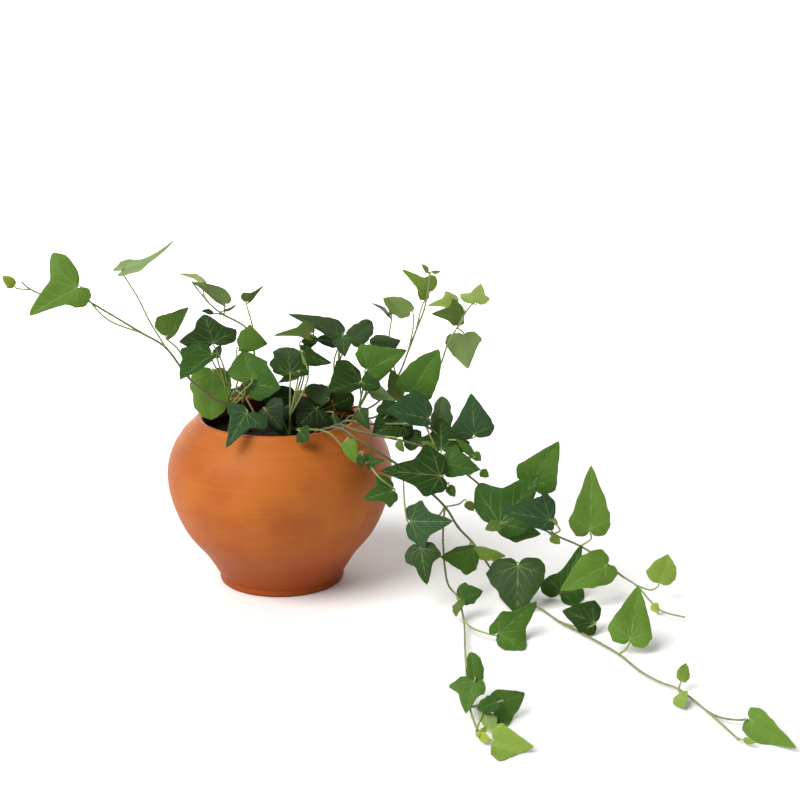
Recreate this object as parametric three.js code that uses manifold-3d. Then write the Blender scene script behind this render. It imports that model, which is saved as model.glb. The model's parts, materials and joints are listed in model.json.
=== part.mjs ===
// Potted ivy: a wheel-thrown terracotta pot, the potting mix in it, and the leafy
// stems of a common ivy. Millimetres, +Z up. The origin is the centre of the pot's
// foot, on the surface that the pot stands on; the viewer looks along +Y.
import * as THREE from 'three';
import { mergeVertices } from 'three/addons/utils/BufferGeometryUtils.js';
import Module from 'manifold-3d';

// ---- the pot ----
const POT_HEIGHT = 137;
const BELLY_RADIUS = 90;
const BELLY_HEIGHT = 91;
const RIM_RADIUS = 66.8;
const FOOT_RADIUS = 49.6;
const FOOT_BEAD = 4.5;
const WALL = 6;
const FLOOR_THICKNESS = 8;
const POT_SIDES = 36;
const SOIL_LEVEL = 118;
const SOIL_SIDES = POT_SIDES / 2;
const CLEARANCE = 0.35;
const HOLE_PLAY = 0.8;

// ---- the plant ----
const BLADE_THICKNESS = 0.7;
const ARCH = 0.05;        // rise of the blade along its midrib, against its length
const GUTTER = 0.2;       // slope of the blade beside its midrib
const DROOP = 0.42;       // fall of the lobes, against the distance from the midrib squared
const STALK_RADIUS = 0.75;
const STALK_TIP_RADIUS = 0.6;
const STALK_STEP = 30;    // along a stalk, between two rings
const NECK = 3;           // of the stalk, in line with the midrib
const STEM_TIP_RADIUS = 0.7;
const STEM_SIDES = 5;
const STEP_LENGTH = 18;   // along a stem, between two rings
const ROOT_DEPTH = 12;    // of a stem in the potting mix
const SINK = 1.6;         // of a stalk in its stem
const LEAN_GAP = 0.7;     // between the rim and a stem that leans on it
const JOIN_TOLERANCE = 0.05;

// ---- the view in which the plant's points were measured, 800 by 800 picture points ----
const EYE = new THREE.Vector3(0, -1290, 495);
const VIEW_YAW = 0.0748;
const VIEW_PITCH = 0.2631;
const VIEW_FOCAL = 1672.5;
const VIEW_MIDDLE = 400;

const FORWARD = new THREE.Vector3(
  Math.sin(VIEW_YAW) * Math.cos(VIEW_PITCH),
  Math.cos(VIEW_YAW) * Math.cos(VIEW_PITCH),
  -Math.sin(VIEW_PITCH),
);
const RIGHT = new THREE.Vector3(Math.cos(VIEW_YAW), -Math.sin(VIEW_YAW), 0);
const UP = new THREE.Vector3().crossVectors(RIGHT, FORWARD);

// The point seen at a picture column and row that lies at the given depth Y.
function sight([column, row, depth]) {
  const ray = FORWARD.clone()
    .addScaledVector(RIGHT, (column - VIEW_MIDDLE) / VIEW_FOCAL)
    .addScaledVector(UP, (VIEW_MIDDLE - row) / VIEW_FOCAL);
  const reach = (depth - EYE.y) / ray.y;
  return EYE.clone().addScaledVector(ray, reach);
}

// Half outlines of the leaf forms, from the stalk to the tip: across, against the
// half width, and along, against the blade's length.
const FORMS = {
  star: [
    [0, 0], [0.36, -0.14], [0.68, -0.07], [0.9, 0.12], [1, 0.29], [0.74, 0.38], [0.48, 0.48],
    [0.34, 0.68], [0.14, 0.9], [0, 1],
  ],
  fork: [
    [0, 0], [0.32, -0.18], [0.78, -0.15], [1, 0.04], [0.84, 0.2], [0.48, 0.33], [0.3, 0.6],
    [0.12, 0.9], [0, 1],
  ],
  arrow: [
    [0, 0], [0.25, -0.12], [0.7, -0.09], [1, 0.12], [0.84, 0.36], [0.52, 0.64], [0.16, 0.92], [0, 1],
  ],
  spear: [
    [0, 0], [0.4, -0.06], [0.82, -0.02], [1, 0.14], [0.9, 0.46], [0.52, 0.76], [0.16, 0.95], [0, 1],
  ],
  heart: [
    [0, 0], [0.26, -0.17], [0.74, -0.14], [1, 0.1], [0.9, 0.34], [0.56, 0.62], [0.16, 0.92], [0, 1],
  ],
  kite: [
    [0, 0], [0.45, -0.07], [0.85, 0.14], [1, 0.46], [0.56, 0.78], [0, 1],
  ],
  blunt: [
    [0, 0], [0.4, -0.1], [0.88, 0.04], [1, 0.36], [0.82, 0.7], [0.4, 0.94], [0, 1],
  ],
  young: [
    [0, 0], [0.62, 0.02], [1, 0.28], [0.7, 0.66], [0, 1],
  ],
};
const RIB_STATIONS = [0.14, 0.55, 1];

// The leafy stems. Root: where the stem stands in the potting mix. Route: the points
// it runs through, each a picture column, a row and a depth. A leaf's row says its
// form, the place on the route that its stalk leaves, where the blade meets the stalk
// and where its tip is, the turn of the blade about its midrib away from the viewer
// in degrees, its half widths left and right of the midrib against its length, and
// any points that the stalk passes through.
const STEMS = {
  left_trailing_stem: {
    root: [-42, -22], radius: 1.2,
    route: [[231, 408, -25], [210, 397, -28], [188, 377, -26], [166, 348, -26], [140, 332, -28],
      [110, 314, -30], [80, 298, -32], [50, 297, -34], [30, 289, -35], [22, 282, -36]],
    leaves: [
      ['young', 8, [14, 286, -36], [2, 276, -38], 20, 0.42, 0.42],
      ['fork', 4, [77, 288, -36], [29, 316, -44], 12, 0.36, 0.82, [[110, 321, -30], [92, 304, -33]]],
      ['fork', 3, [125, 269, -40], [175, 239, -30], 106, 0.5, 0.5, [[150, 322, -30], [138, 298, -36]]],
      ['arrow', 2, [168, 335, -34], [189, 307, -22], 25, 0.62, 0.15, [[180, 352, -20]]],
    ],
  },
  left_upright_stem: {
    root: [-26, 12], radius: 1,
    route: [[243, 402, 14], [254, 372, 18], [253, 345, 20], [246, 328, 20], [234, 320, 20],
      [222, 314, 20], [207, 301, 20], [192, 282, 20]],
    leaves: [
      ['fork', 6, [203, 282, 18], [178, 274, 10], 66, 0.42, 0.62, [[203, 293, 18]]],
      ['heart', 5, [222, 302, 17], [192, 282, 8], 158, 0.1, 0.32],
      ['fork', 1, [249, 301, 12], [264, 285, 14], 30, 0.56, 0.1, [[254, 335, 14]]],
      ['young', 4, [224, 311, 16], [237, 304, 12], 55, 0.18, 0.18],
      ['young', 5, [213, 313, 15], [201, 311, 12], 40, 0.3, 0.3],
    ],
  },
  left_short_stem: {
    root: [-34, -14], radius: 1.1,
    route: [[231, 416, -16], [230, 404, -16]],
    leaves: [
      ['star', 1, [213, 343, -12], [204, 314, 14], 10, 0.8, 0.68, [[224, 368, -14]]],
      ['kite', 1, [212, 355, -26], [180, 380, -42], 15, 0.14, 0.56, [[222, 375, -18]]],
      ['blunt', 1, [213, 372, -8], [211, 420, -22], 10, 0.42, 0.48, [[223, 388, -10]]],
      ['kite', 1, [240, 349, -8], [268, 344, -2], 20, 0.78, 0.14, [[238, 378, -12]]],
      ['kite', 1, [251, 379, -24], [243, 351, -8], 10, 0.64, 0.66, [[240, 394, -20]]],
      ['kite', 1, [248, 383, -18], [281, 388, -32], 10, 0.72, 0.42, [[244, 396, -18]]],
      ['fork', 0, [246, 414, -50], [226, 448, -80], 8, 0.5, 0.42, [[240, 406, -34]]],
      ['young', 1, [214, 357, -16], [221, 345, -10], 30, 0.4, 0.4, [[222, 380, -14]]],
    ],
  },
  centre_left_stem: {
    root: [6, -26], radius: 0.9,
    route: [[290, 436, -26], [290, 414, -26]],
    leaves: [
      ['blunt', 1, [290, 374, -22], [287, 347, 4], 12, 0.5, 0.56, [[290, 394, -24]]],
      ['fork', 1, [310, 334, -15], [273, 336, -27], 30, 0.2, 0.36, [[303, 372, -14]]],
      ['heart', 1, [304, 352, -14], [332, 363, -26], 35, 0.3, 0.4, [[308, 378, -18]]],
      ['young', 1, [303, 343, -14], [319, 338, -18], 30, 0.36, 0.42, [[304, 376, -14]]],
      ['arrow', 0, [286, 408, -22], [262, 413, -28], 18, 0.5, 0.5],
      ['arrow', 1, [296, 374, -20], [278, 383, -17], 20, 0.3, 0.3],
      ['heart', 0, [266, 410, -36], [283, 430, -46], 20, 0.72, 0.55, [[280, 416, -32]]],
    ],
  },
  centre_back_stem: {
    root: [40, 20], radius: 1,
    route: [[334, 412, 20], [336, 390, 20], [338, 365, 18]],
    leaves: [
      ['arrow', 2, [338, 335, 12], [287, 314, -6], 15, 0.11, 0.24, [[339, 350, 16]]],
      ['blunt', 2, [352, 340, 16], [372, 321, 24], 20, 0.42, 0.45, [[343, 352, 17]]],
      ['arrow', 2, [343, 337, 8], [345, 357, 0], 15, 0.55, 0.6],
      ['young', 1, [337, 342, 20], [315, 340, 12], 30, 0.35, 0.35, [[334, 362, 20]]],
    ],
  },
  centre_right_stem: {
    root: [52, -6], radius: 1,
    route: [[351, 424, -8], [357, 412, -10]],
    leaves: [
      ['kite', 1, [361, 382, -16], [328, 392, -30], 10, 0.2, 0.72, [[361, 398, -12]]],
      ['blunt', 1, [363, 383, -20], [381, 386, -26], 12, 0.5, 0.4, [[361, 398, -14]]],
      ['arrow', 1, [368, 369, -4], [407, 350, -12], 10, 0.6, 0.36, [[366, 392, -8]]],
      ['young', 1, [372, 345, 4], [401, 340, -4], 40, 0.45, 0.45, [[370, 380, -2]]],
      ['heart', 1, [374, 390, -12], [396, 401, -18], 150, 0.34, 0.34],
      ['arrow', 0, [360, 412, -35], [370, 430, -43], 14, 0.42, 0.42],
    ],
  },
  right_upright_stem: {
    root: [46, 10], radius: 1, over: 10,
    route: [[366, 409, 12], [380, 400, 14], [398, 376, 14], [409, 349, 14], [417, 328, 15],
      [424, 310, 16], [428, 290, 16], [430, 273, 16]],
    leaves: [
      ['arrow', 2, [389, 315, 10], [371, 303, 2], 70, 0.4, 0.3, [[389, 345, 12]]],
      ['kite', 3, [410, 311, 12], [383, 298, 4], 160, 0.4, 0.28, [[413, 328, 13]]],
      ['fork', 4, [427, 291, 20], [401, 269, 12], 15, 0.3, 0.46, [[422, 306, 18]]],
      ['young', 7, [428, 272, 15], [421, 264, 13], 40, 0.35, 0.35],
      ['young', 7, [432, 272, 15], [441, 271, 12], 50, 0.35, 0.35],
    ],
  },
  right_outer_stem: {
    root: [52, -18], radius: 1, over: -13,
    route: [[372, 418, -14], [398, 404, -10], [424, 386, -6], [440, 365, -4], [447, 346, -4],
      [458, 326, -4], [468, 309, -4], [475, 302, -4]],
    leaves: [
      ['star', 6, [456, 304, 14], [427, 306, 8], 20, 0.2, 0.44, [[465, 311, 6]]],
      ['star', 5, [461, 318, 6], [431, 314, -2], 15, 0.3, 0.52],
      ['star', 7, [477, 302, -5], [481, 283, -8], 15, 0.95, 0.62],
      ['arrow', 5, [464, 336, 2], [468, 369, -6], 170, 0.5, 0.64],
      ['spear', 2, [411, 392, -14], [439, 349, -22], 8, 0.37, 0.37],
      ['young', 1, [397, 400, 6], [391, 369, 8], 30, 0.35, 0.35],
    ],
  },
  right_bushy_stem: {
    root: [50, -30], radius: 1.1, over: -29,
    route: [[360, 424, -32], [380, 424, -34], [404, 424, -34], [428, 427, -34], [442, 440, -34]],
    leaves: [
      ['kite', 2, [428, 419, -38], [386, 411, -50], 12, 0.22, 0.54],
      ['blunt', 1, [392, 408, -30], [376, 411, -34], 12, 0.42, 0.42],
      ['heart', 1, [402, 419, -28], [372, 436, -40], 10, 0.5, 0.68],
      ['blunt', 2, [412, 431, -30], [411, 451, -36], 10, 0.55, 0.45],
      ['blunt', 3, [438, 429, -24], [442, 396, -20], 12, 0.28, 0.42],
      ['arrow', 4, [474, 434, -42], [471, 393, -46], 10, 0.56, 0.5, [[456, 440, -38]]],
      ['star', 4, [441, 449, -40], [440, 418, -24], 10, 0.7, 0.95],
      ['young', 3, [434, 449, -42], [421, 442, -46], 20, 0.3, 0.3],
    ],
  },
  upper_right_trailer: {
    root: [48, -40], radius: 1.1, over: -41,
    route: [[346, 427, -46], [362, 432, -54], [385, 437, -56], [415, 444, -56], [442, 455, -56],
      [470, 477, -54], [500, 500, -54], [530, 522, -54], [555, 535, -56], [582, 547, -60],
      [605, 562, -68], [622, 576, -76], [637, 586, -86], [652, 603, -104], [664, 612, -116],
      [684, 617, -126]],
    leaves: [
      ['arrow', 4, [447, 464, -64], [480, 470, -66], 12, 0.62, 0.42],
      ['young', 4, [472, 455, -60], [456, 439, -60], 35, 0.24, 0.24],
      ['young', 5, [474, 453, -57], [481, 461, -60], 10, 0.5, 0.5],
      ['young', 5, [481, 471, -58], [489, 477, -60], 10, 0.5, 0.5],
      ['young', 2, [398, 441, -60], [404, 452, -64], 20, 0.36, 0.42],
      ['star', 6, [500, 523, -66], [540, 474, -60], 10, 0.68, 0.42],
      ['arrow', 7, [531, 481, -46], [559, 441, -42], 10, 0.42, 0.52],
      ['arrow', 8, [549, 520, -74], [499, 511, -86], 10, 0.22, 0.45, [[560, 530, -66]]],
      ['kite', 7, [501, 523, -60], [541, 534, -64], 12, 0.25, 0.36],
      ['young', 8, [549, 519, -62], [558, 524, -64], 20, 0.5, 0.5],
      ['young', 8, [552, 536, -60], [560, 544, -62], 20, 0.5, 0.5],
      ['young', 7, [500, 524, -72], [485, 530, -78], 20, 0.4, 0.4],
      ['arrow', 9, [590, 529, -62], [591, 465, -58], 8, 0.34, 0.34, [[591, 539, -62]]],
      ['fork', 9, [561, 592, -66], [582, 544, -60], 10, 0.43, 0.43, [[572, 572, -60]]],
      ['heart', 10, [605, 566, -80], [560, 591, -94], 10, 0.33, 0.38],
      ['young', 12, [659, 583, -84], [668, 554, -80], 15, 0.54, 0.52, [[650, 590, -86]]],
      ['young', 13, [653, 604, -106], [659, 613, -110], 15, 0.5, 0.5],
    ],
  },
  lower_right_trailer: {
    root: [36, -42], radius: 1.2, over: -53,
    route: [[332, 427, -51], [344, 430, -58], [358, 440, -66], [378, 452, -68], [405, 470, -66],
      [428, 490, -62], [446, 508, -58], [458, 527, -56], [472, 542, -54], [483, 557, -50],
      [500, 581, -50], [520, 598, -74], [541, 609, -96], [560, 622, -123], [578, 631, -141],
      [600, 643, -164], [620, 655, -187], [640, 671, -216], [660, 682, -234], [680, 690, -249],
      [708, 712, -284], [738, 739, -325]],
    branches: [
      {
        from: 6, radius: 0.8,
        route: [[443, 540, -66], [447, 581, -74], [458, 598, -96], [464, 622, -122], [465, 650, -172],
          [467, 680, -226], [470, 708, -270], [477, 730, -303]],
        leaves: [
          ['kite', 2, [461, 599, -100], [483, 591, -104], 15, 0.62, 0.36],
          ['young', 2, [461, 601, -100], [456, 617, -116], 40, 0.3, 0.3],
          ['star', 3, [498, 633, -150], [537, 601, -132], 10, 0.28, 0.52, [[474, 629, -142]]],
          ['blunt', 4, [474, 680, -262], [471, 652, -250], 12, 0.27, 0.4, [[470, 690, -258]]],
          ['star', 5, [474, 682, -266], [466, 714, -280], 12, 0.44, 0.7],
          ['arrow', 6, [495, 704, -281], [525, 693, -268], 12, 0.37, 0.68],
          ['blunt', 6, [498, 702, -286], [477, 709, -288], 12, 0.38, 0.4],
          ['young', 7, [486, 712, -286], [494, 732, -304], 150, 0.34, 0.34],
          ['young', 7, [480, 735, -312], [491, 741, -318], 20, 0.4, 0.4],
          ['young', 7, [480, 734, -312], [487, 726, -308], 20, 0.32, 0.32],
          ['arrow', 7, [496, 741, -318], [534, 747, -328], 10, 0.48, 0.48, [[486, 738, -313]]],
        ],
      },
      {
        from: 20, radius: 0.8,
        route: [[716, 716, -290], [728, 719, -297], [742, 720, -300]],
        leaves: [
          ['heart', 2, [752, 721, -303], [797, 748, -342], 10, 0.24, 0.24],
        ],
      },
    ],
    leaves: [
      ['star', 5, [440, 476, -74], [380, 471, -84], 10, 0.36, 0.46],
      ['young', 5, [449, 486, -70], [455, 497, -74], 20, 0.45, 0.45],
      ['star', 4, [411, 521, -80], [453, 521, -90], 12, 0.49, 0.62, [[404, 496, -76]]],
      ['star', 6, [421, 548, -84], [427, 585, -96], 10, 0.52, 0.5, [[432, 527, -74]]],
      ['kite', 8, [473, 549, -58], [440, 557, -72], 10, 0.6, 0.15],
      ['young', 8, [474, 551, -56], [506, 556, -56], 30, 0.25, 0.25],
      ['young', 6, [467, 502, -61], [474, 511, -62], 20, 0.45, 0.45, [[459, 504, -60]]],
      ['heart', 9, [518, 566, -76], [518, 617, -98], 8, 0.56, 0.58, [[498, 562, -62]]],
      ['heart', 13, [593, 622, -140], [562, 611, -138], 12, 0.48, 0.62, [[582, 628, -142]]],
      ['arrow', 16, [630, 639, -178], [638, 586, -150], 8, 0.42, 0.37, [[626, 649, -185]]],
      ['young', 19, [681, 681, -246], [686, 663, -236], 20, 0.36, 0.36],
      ['young', 19, [680, 694, -258], [684, 708, -276], 20, 0.36, 0.36],
      ['young', 21, [744, 740, -327], [757, 742, -334], 20, 0.25, 0.25],
    ],
  },
  rim_shoot: {
    root: [24, -44], radius: 0.9, over: -60,
    route: [[321, 430, -60], [332, 435, -66], [344, 448, -72], [356, 458, -74], [370, 464, -72]],
    leaves: [
      ['spear', 2, [349, 441, -73], [356, 463, -76], 20, 0.3, 0.38],
      ['young', 3, [362, 455, -78], [361, 468, -80], 20, 0.42, 0.42],
      ['fork', 4, [369, 462, -76], [385, 460, -78], 15, 0.6, 0.5],
      ['star', 4, [392, 491, -80], [363, 500, -90], 10, 0.45, 0.63, [[380, 478, -86]]],
      ['young', 0, [300, 431, -70], [309, 441, -80], 20, 0.6, 0.6],
    ],
  },
  inner_stem: {
    root: [24, 0], radius: 1,
    route: [[310, 424, 0], [312, 412, 0]],
    leaves: [
      ['blunt', 1, [293, 398, -6], [262, 398, -14], 15, 0.36, 0.4],
      ['blunt', 1, [326, 398, -4], [305, 388, 2], 20, 0.42, 0.5],
      ['blunt', 1, [336, 404, 4], [354, 396, 8], 20, 0.6, 0.6],
      ['heart', 1, [316, 409, -14], [297, 427, -30], 10, 0.74, 0.7],
      ['kite', 1, [333, 415, -12], [342, 434, -21], 10, 0.2, 0.75],
      ['blunt', 1, [304, 412, -6], [280, 398, -2], 15, 0.5, 0.5],
      ['star', 1, [306, 420, -10], [280, 424, -15], 12, 0.5, 0.55],
      ['heart', 1, [316, 404, 2], [334, 392, 8], 18, 0.6, 0.6],
      ['arrow', 0, [293, 428, -18], [262, 423, -22], 14, 0.42, 0.42],
    ],
  },
};

// The shoots on the far side, where the view shows none: each hangs over the rim at its
// own angle round the pot, on the same route of reaches from the axis and heights.
const BACK_ANGLES = [66, 118];
const BACK_ROUTE = [[76, 139], [89, 127], [98, 108], [100, 86], [98, 66]];
const BACK_RADIUS = 1;
const BACK_ROOT = 36;
const BACK_SEED = 11;
const BACK_LENGTHS = [36, 34, 30, 26, 20];
const BACK_WANDER = 5;

const COLOURS = {
  pot: new THREE.Color(0.66, 0.31, 0.15),
  soil: new THREE.Color(0.07, 0.045, 0.03),
  leaves: new THREE.Color(0.07, 0.19, 0.05),
};

const wasm = await Module();
wasm.setup();

// ---- solids ----
function toSolid(geometry) {
  const bare = geometry.index ? geometry.toNonIndexed() : geometry.clone();
  bare.deleteAttribute('normal');
  bare.deleteAttribute('uv');
  const merged = mergeVertices(bare, 1e-4);
  const vertProperties = new Float32Array(merged.attributes.position.array);
  const triVerts = new Uint32Array(merged.index.array);
  return new wasm.Manifold(new wasm.Mesh({ numProp: 3, vertProperties, triVerts }));
}

function toGeometry(solid) {
  const mesh = solid.getMesh();
  const geometry = new THREE.BufferGeometry();
  geometry.setAttribute('position', new THREE.BufferAttribute(mesh.vertProperties, 3));
  geometry.setIndex(new THREE.BufferAttribute(mesh.triVerts, 1));
  return geometry;
}

function facets(points, triangles) {
  const geometry = new THREE.BufferGeometry();
  const numbers = points.flatMap((point) => [point.x, point.y, point.z]);
  geometry.setAttribute('position', new THREE.Float32BufferAttribute(numbers, 3));
  geometry.setIndex(triangles);
  return geometry;
}

// Places along a smooth curve through the points, each with the curve's direction.
function stationsAlong(points, stepLength) {
  const curve = new THREE.CatmullRomCurve3(points, false, 'centripetal');
  const last = points.length - 1;
  const stations = [];
  for (let index = 0; index < last; index += 1) {
    const steps = Math.max(1, Math.round(points[index].distanceTo(points[index + 1]) / stepLength));
    for (let step = 0; step < steps; step += 1) stations.push((index + step / steps) / last);
  }
  stations.push(1);
  return stations.map((at) => ({ centre: curve.getPoint(at), tangent: curve.getTangent(at) }));
}

// Rings of points round those places, carried along without a twist.
function ringsAlong(stations, firstNormal, radiusAt, sides) {
  const normal = firstNormal.clone();
  return stations.flatMap(({ centre, tangent }, index) => {
    normal.addScaledVector(tangent, -normal.dot(tangent)).normalize();
    const binormal = new THREE.Vector3().crossVectors(tangent, normal);
    const radius = radiusAt(index / (stations.length - 1));
    return Array.from({ length: sides }, (unused, side) => {
      const angle = ((side + 0.5) / sides) * 2 * Math.PI;
      return centre.clone()
        .addScaledVector(normal, radius * Math.sin(angle))
        .addScaledVector(binormal, -radius * Math.cos(angle));
    });
  });
}

function wallBetween(low, high) {
  return low.flatMap((corner, side) => {
    const next = (side + 1) % low.length;
    return [corner, low[next], high[next], corner, high[next], high[side]];
  });
}

function cap(ring) {
  return ring.slice(2).flatMap((corner, index) => [ring[0], ring[index + 1], corner]);
}

function ringIndices(first, ring, sides) {
  return Array.from({ length: sides }, (unused, side) => first + ring * sides + side);
}

// A stem: a round tube that tapers to its tip.
function taperedTube(points, startRadius, endRadius) {
  const stations = stationsAlong(points, STEP_LENGTH);
  const sideways = new THREE.Vector3(0.3, 1, 0.1);
  const radiusAt = (part) => THREE.MathUtils.lerp(startRadius, endRadius, part);
  const vertices = ringsAlong(stations, sideways, radiusAt, STEM_SIDES);
  const rings = stations.map((unused, index) => ringIndices(0, index, STEM_SIDES));
  const walls = rings.slice(1).flatMap((ring, index) => wallBetween(rings[index], ring));
  return facets(vertices, [...walls, ...cap([...rings[0]].reverse()), ...cap(rings.at(-1))]);
}

// A point that would lie below the ground is brought up along the line of sight, so
// that it lies on the ground and looks the same to the viewer.
function aboveGround(point, height) {
  if (point.z >= height) return point;
  return point.lerp(EYE, (height - point.z) / (EYE.z - point.z));
}

// The directions of a blade: along its midrib, out of its upper face and across it.
function bladeFrame(base, tip, turn, facing) {
  const midrib = tip.clone().sub(base);
  const length = midrib.length();
  midrib.normalize();
  const face = facing.clone().addScaledVector(midrib, -facing.dot(midrib)).normalize();
  face.applyAxisAngle(midrib, THREE.MathUtils.degToRad(turn));
  const across = new THREE.Vector3().crossVectors(midrib, face);
  return (out, along) => {
    const rise = ARCH * 4 * along * (1 - along) + GUTTER * Math.abs(out) - DROOP * out * out;
    const point = base.clone()
      .addScaledVector(across, out * length)
      .addScaledVector(midrib, along * length)
      .addScaledVector(face, rise * length);
    return { point: aboveGround(point, BLADE_THICKNESS), face };
  };
}

// A leaf: a blade with a midrib and two lobed halves, the same triangles on both of
// its faces, and a four-sided stalk that runs from the notch of the blade to the stem.
function leafGeometry(start, form, base, tip, turn, halfWidths, via, facing) {
  const place = bladeFrame(base, tip, turn, facing);
  const length = base.distanceTo(tip);
  const notch = STALK_TIP_RADIUS / length;
  const outline = FORMS[form];
  const last = outline.length - 1;
  const points = [place(-notch, 0), place(notch, 0), ...RIB_STATIONS.map((along) => place(0, along))];
  const tipIndex = points.length - 1;
  const nearestRib = (along) => (along < 0.34 ? 2 : 3);
  const triangles = [[0, 1, 2]];
  const edges = [-1, 1].map((side, half) => {
    const edge = outline.map(([out, along], step) => {
      if (step === 0) return half;
      if (step === last) return tipIndex;
      points.push(place(side * out * halfWidths[half], along));
      return points.length - 1;
    });
    for (let step = 0; step < last; step += 1) {
      const here = step === 0 ? 2 : nearestRib(outline[step][1]);
      const next = step === last - 1 ? tipIndex : nearestRib(outline[step + 1][1]);
      const corners = [[here, edge[step], edge[step + 1]], [here, edge[step + 1], next]];
      corners.filter((corner) => new Set(corner).size === 3).forEach(([a, b, c]) => {
        triangles.push(side > 0 ? [a, b, c] : [a, c, b]);
      });
    }
    return edge;
  });

  const count = points.length;
  const offset = (amount) => points.map(({ point, face }) => point.clone().addScaledVector(face, amount));
  const vertices = [...offset(BLADE_THICKNESS / 2), ...offset(-BLADE_THICKNESS / 2)];
  const faces = triangles.flatMap(([a, b, c]) => [a, b, c, count + a, count + c, count + b]);
  const [left, right] = edges;
  for (let step = 0; step < last; step += 1) {
    faces.push(right[step], count + right[step], count + right[step + 1]);
    faces.push(right[step], count + right[step + 1], right[step + 1]);
    faces.push(left[step], count + left[step + 1], count + left[step]);
    faces.push(left[step], left[step + 1], count + left[step + 1]);
  }

  const notchPoint = place(0, 0).point;
  const neck = notchPoint.clone().lerp(tip, -NECK / length);
  const path = [notchPoint, neck, ...[...via].reverse(), start]
    .map((point) => aboveGround(point, STALK_RADIUS + 0.2));
  const stations = stationsAlong(path, STALK_STEP).slice(1);
  const radiusAt = (part) => THREE.MathUtils.lerp(STALK_TIP_RADIUS, STALK_RADIUS, part);
  const firstRing = vertices.length;
  vertices.push(...ringsAlong(stations, points[0].face, radiusAt, 4));
  const stalkRings = stations.map((unused, index) => ringIndices(firstRing, index, 4));
  const rings = [[1, 0, count, count + 1], ...stalkRings];
  rings.slice(1).forEach((ring, index) => faces.push(...wallBetween(rings[index], ring)));
  faces.push(...cap(rings.at(-1)));
  return facets(vertices, faces);
}

// A leaf as a row describes it. From below, its halves change places in the picture.
function picturedLeaf(way, [form, from, base, tip, turn, left, right, via = []]) {
  const seenFromBelow = Math.cos(THREE.MathUtils.degToRad(turn)) < 0;
  const foot = sight(base);
  return toSolid(leafGeometry(
    way.sunk(from), form, foot, sight(tip), turn,
    seenFromBelow ? [right, left] : [left, right], via.map(sight), EYE.clone().sub(foot),
  ));
}

// The way of a stem, and the place a little back from a point of its route, so that
// what leaves the stem there starts inside it.
function stemWay(lead, route, radius) {
  const points = [...lead, ...route].map((point) => aboveGround(point, radius + 0.2));
  const sunk = (index) => {
    const at = lead.length + index;
    const back = points[at - 1].clone().sub(points[at]).setLength(SINK);
    return points[at].clone().add(back);
  };
  return { points, sunk };
}

// Where a stem stands in the potting mix and, if it leaves the pot, where it leans on
// the rim: at an angle in degrees round the pot from +X.
function stemLead({ root: [x, y], radius, over }) {
  const rises = [-ROOT_DEPTH + CLEARANCE, -ROOT_DEPTH / 2, 3];
  const lead = rises.map((rise) => new THREE.Vector3(x, y, SOIL_LEVEL + rise));
  if (over !== undefined) {
    const angle = THREE.MathUtils.degToRad(over);
    const inner = RIM_RADIUS - WALL - 6;
    const middle = RIM_RADIUS - WALL / 2;
    lead.push(new THREE.Vector3(inner * Math.cos(angle), inner * Math.sin(angle), POT_HEIGHT - 2));
    lead.push(new THREE.Vector3(
      middle * Math.cos(angle), middle * Math.sin(angle), POT_HEIGHT + radius + LEAN_GAP,
    ));
  }
  return lead;
}

// The fused leafy stem, without the slivers and crumbs that the joins leave.
function fused(solids) {
  const bodies = wasm.Manifold.union(solids).decompose();
  bodies.sort((one, other) => other.volume() - one.volume());
  return bodies[0].asOriginal().simplify(JOIN_TOLERANCE);
}

function leafyStem(stem) {
  const way = stemWay(stemLead(stem), stem.route.map(sight), stem.radius);
  const solids = [toSolid(taperedTube(way.points, stem.radius, STEM_TIP_RADIUS))];
  stem.leaves.forEach((leaf) => solids.push(picturedLeaf(way, leaf)));
  (stem.branches ?? []).forEach(({ from, radius, route, leaves }) => {
    const branch = stemWay([way.sunk(from)], route.map(sight), radius);
    solids.push(toSolid(taperedTube(branch.points, radius, STEM_TIP_RADIUS)));
    leaves.forEach((leaf) => solids.push(picturedLeaf(branch, leaf)));
  });
  return fused(solids);
}

// A number drawn from 0 to 1, the same row of them for the same seed.
function drawsFrom(seed) {
  let state = seed;
  return () => {
    state = (state * 16807) % 2147483647;
    return state / 2147483647;
  };
}

// A shoot behind: its leaves stand out to the left and right in turn.
function backShoot(over, draw) {
  const heading = THREE.MathUtils.degToRad(over);
  const outward = new THREE.Vector3(Math.cos(heading), Math.sin(heading), 0);
  const sideways = new THREE.Vector3(-outward.y, outward.x, 0);
  const root = [outward.x * BACK_ROOT, outward.y * BACK_ROOT];
  const route = BACK_ROUTE.map(([reach, height]) => outward.clone().multiplyScalar(reach)
    .addScaledVector(sideways, (draw() - 0.5) * BACK_WANDER)
    .setZ(height));
  const way = stemWay(stemLead({ root, radius: BACK_RADIUS, over }), route, BACK_RADIUS);
  const facing = outward.clone().setZ(0.8);
  const solids = [toSolid(taperedTube(way.points, BACK_RADIUS, STEM_TIP_RADIUS))];
  route.forEach((point, index) => {
    const side = index % 2 ? 1 : -1;
    const length = BACK_LENGTHS[index];
    const base = point.clone().addScaledVector(sideways, side * 8).addScaledVector(outward, 6);
    const tip = base.clone()
      .addScaledVector(sideways, side * length * (0.45 + 0.2 * draw()))
      .addScaledVector(outward, length * 0.3);
    tip.z -= length * (0.6 + 0.2 * draw());
    const form = index < 3 ? 'star' : 'arrow';
    solids.push(toSolid(leafGeometry(way.sunk(index), form, base, tip, 0, [0.52, 0.52], [], facing)));
  });
  return fused(solids);
}

// ---- the pot and the potting mix ----
const LIP = WALL / 2;

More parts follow.
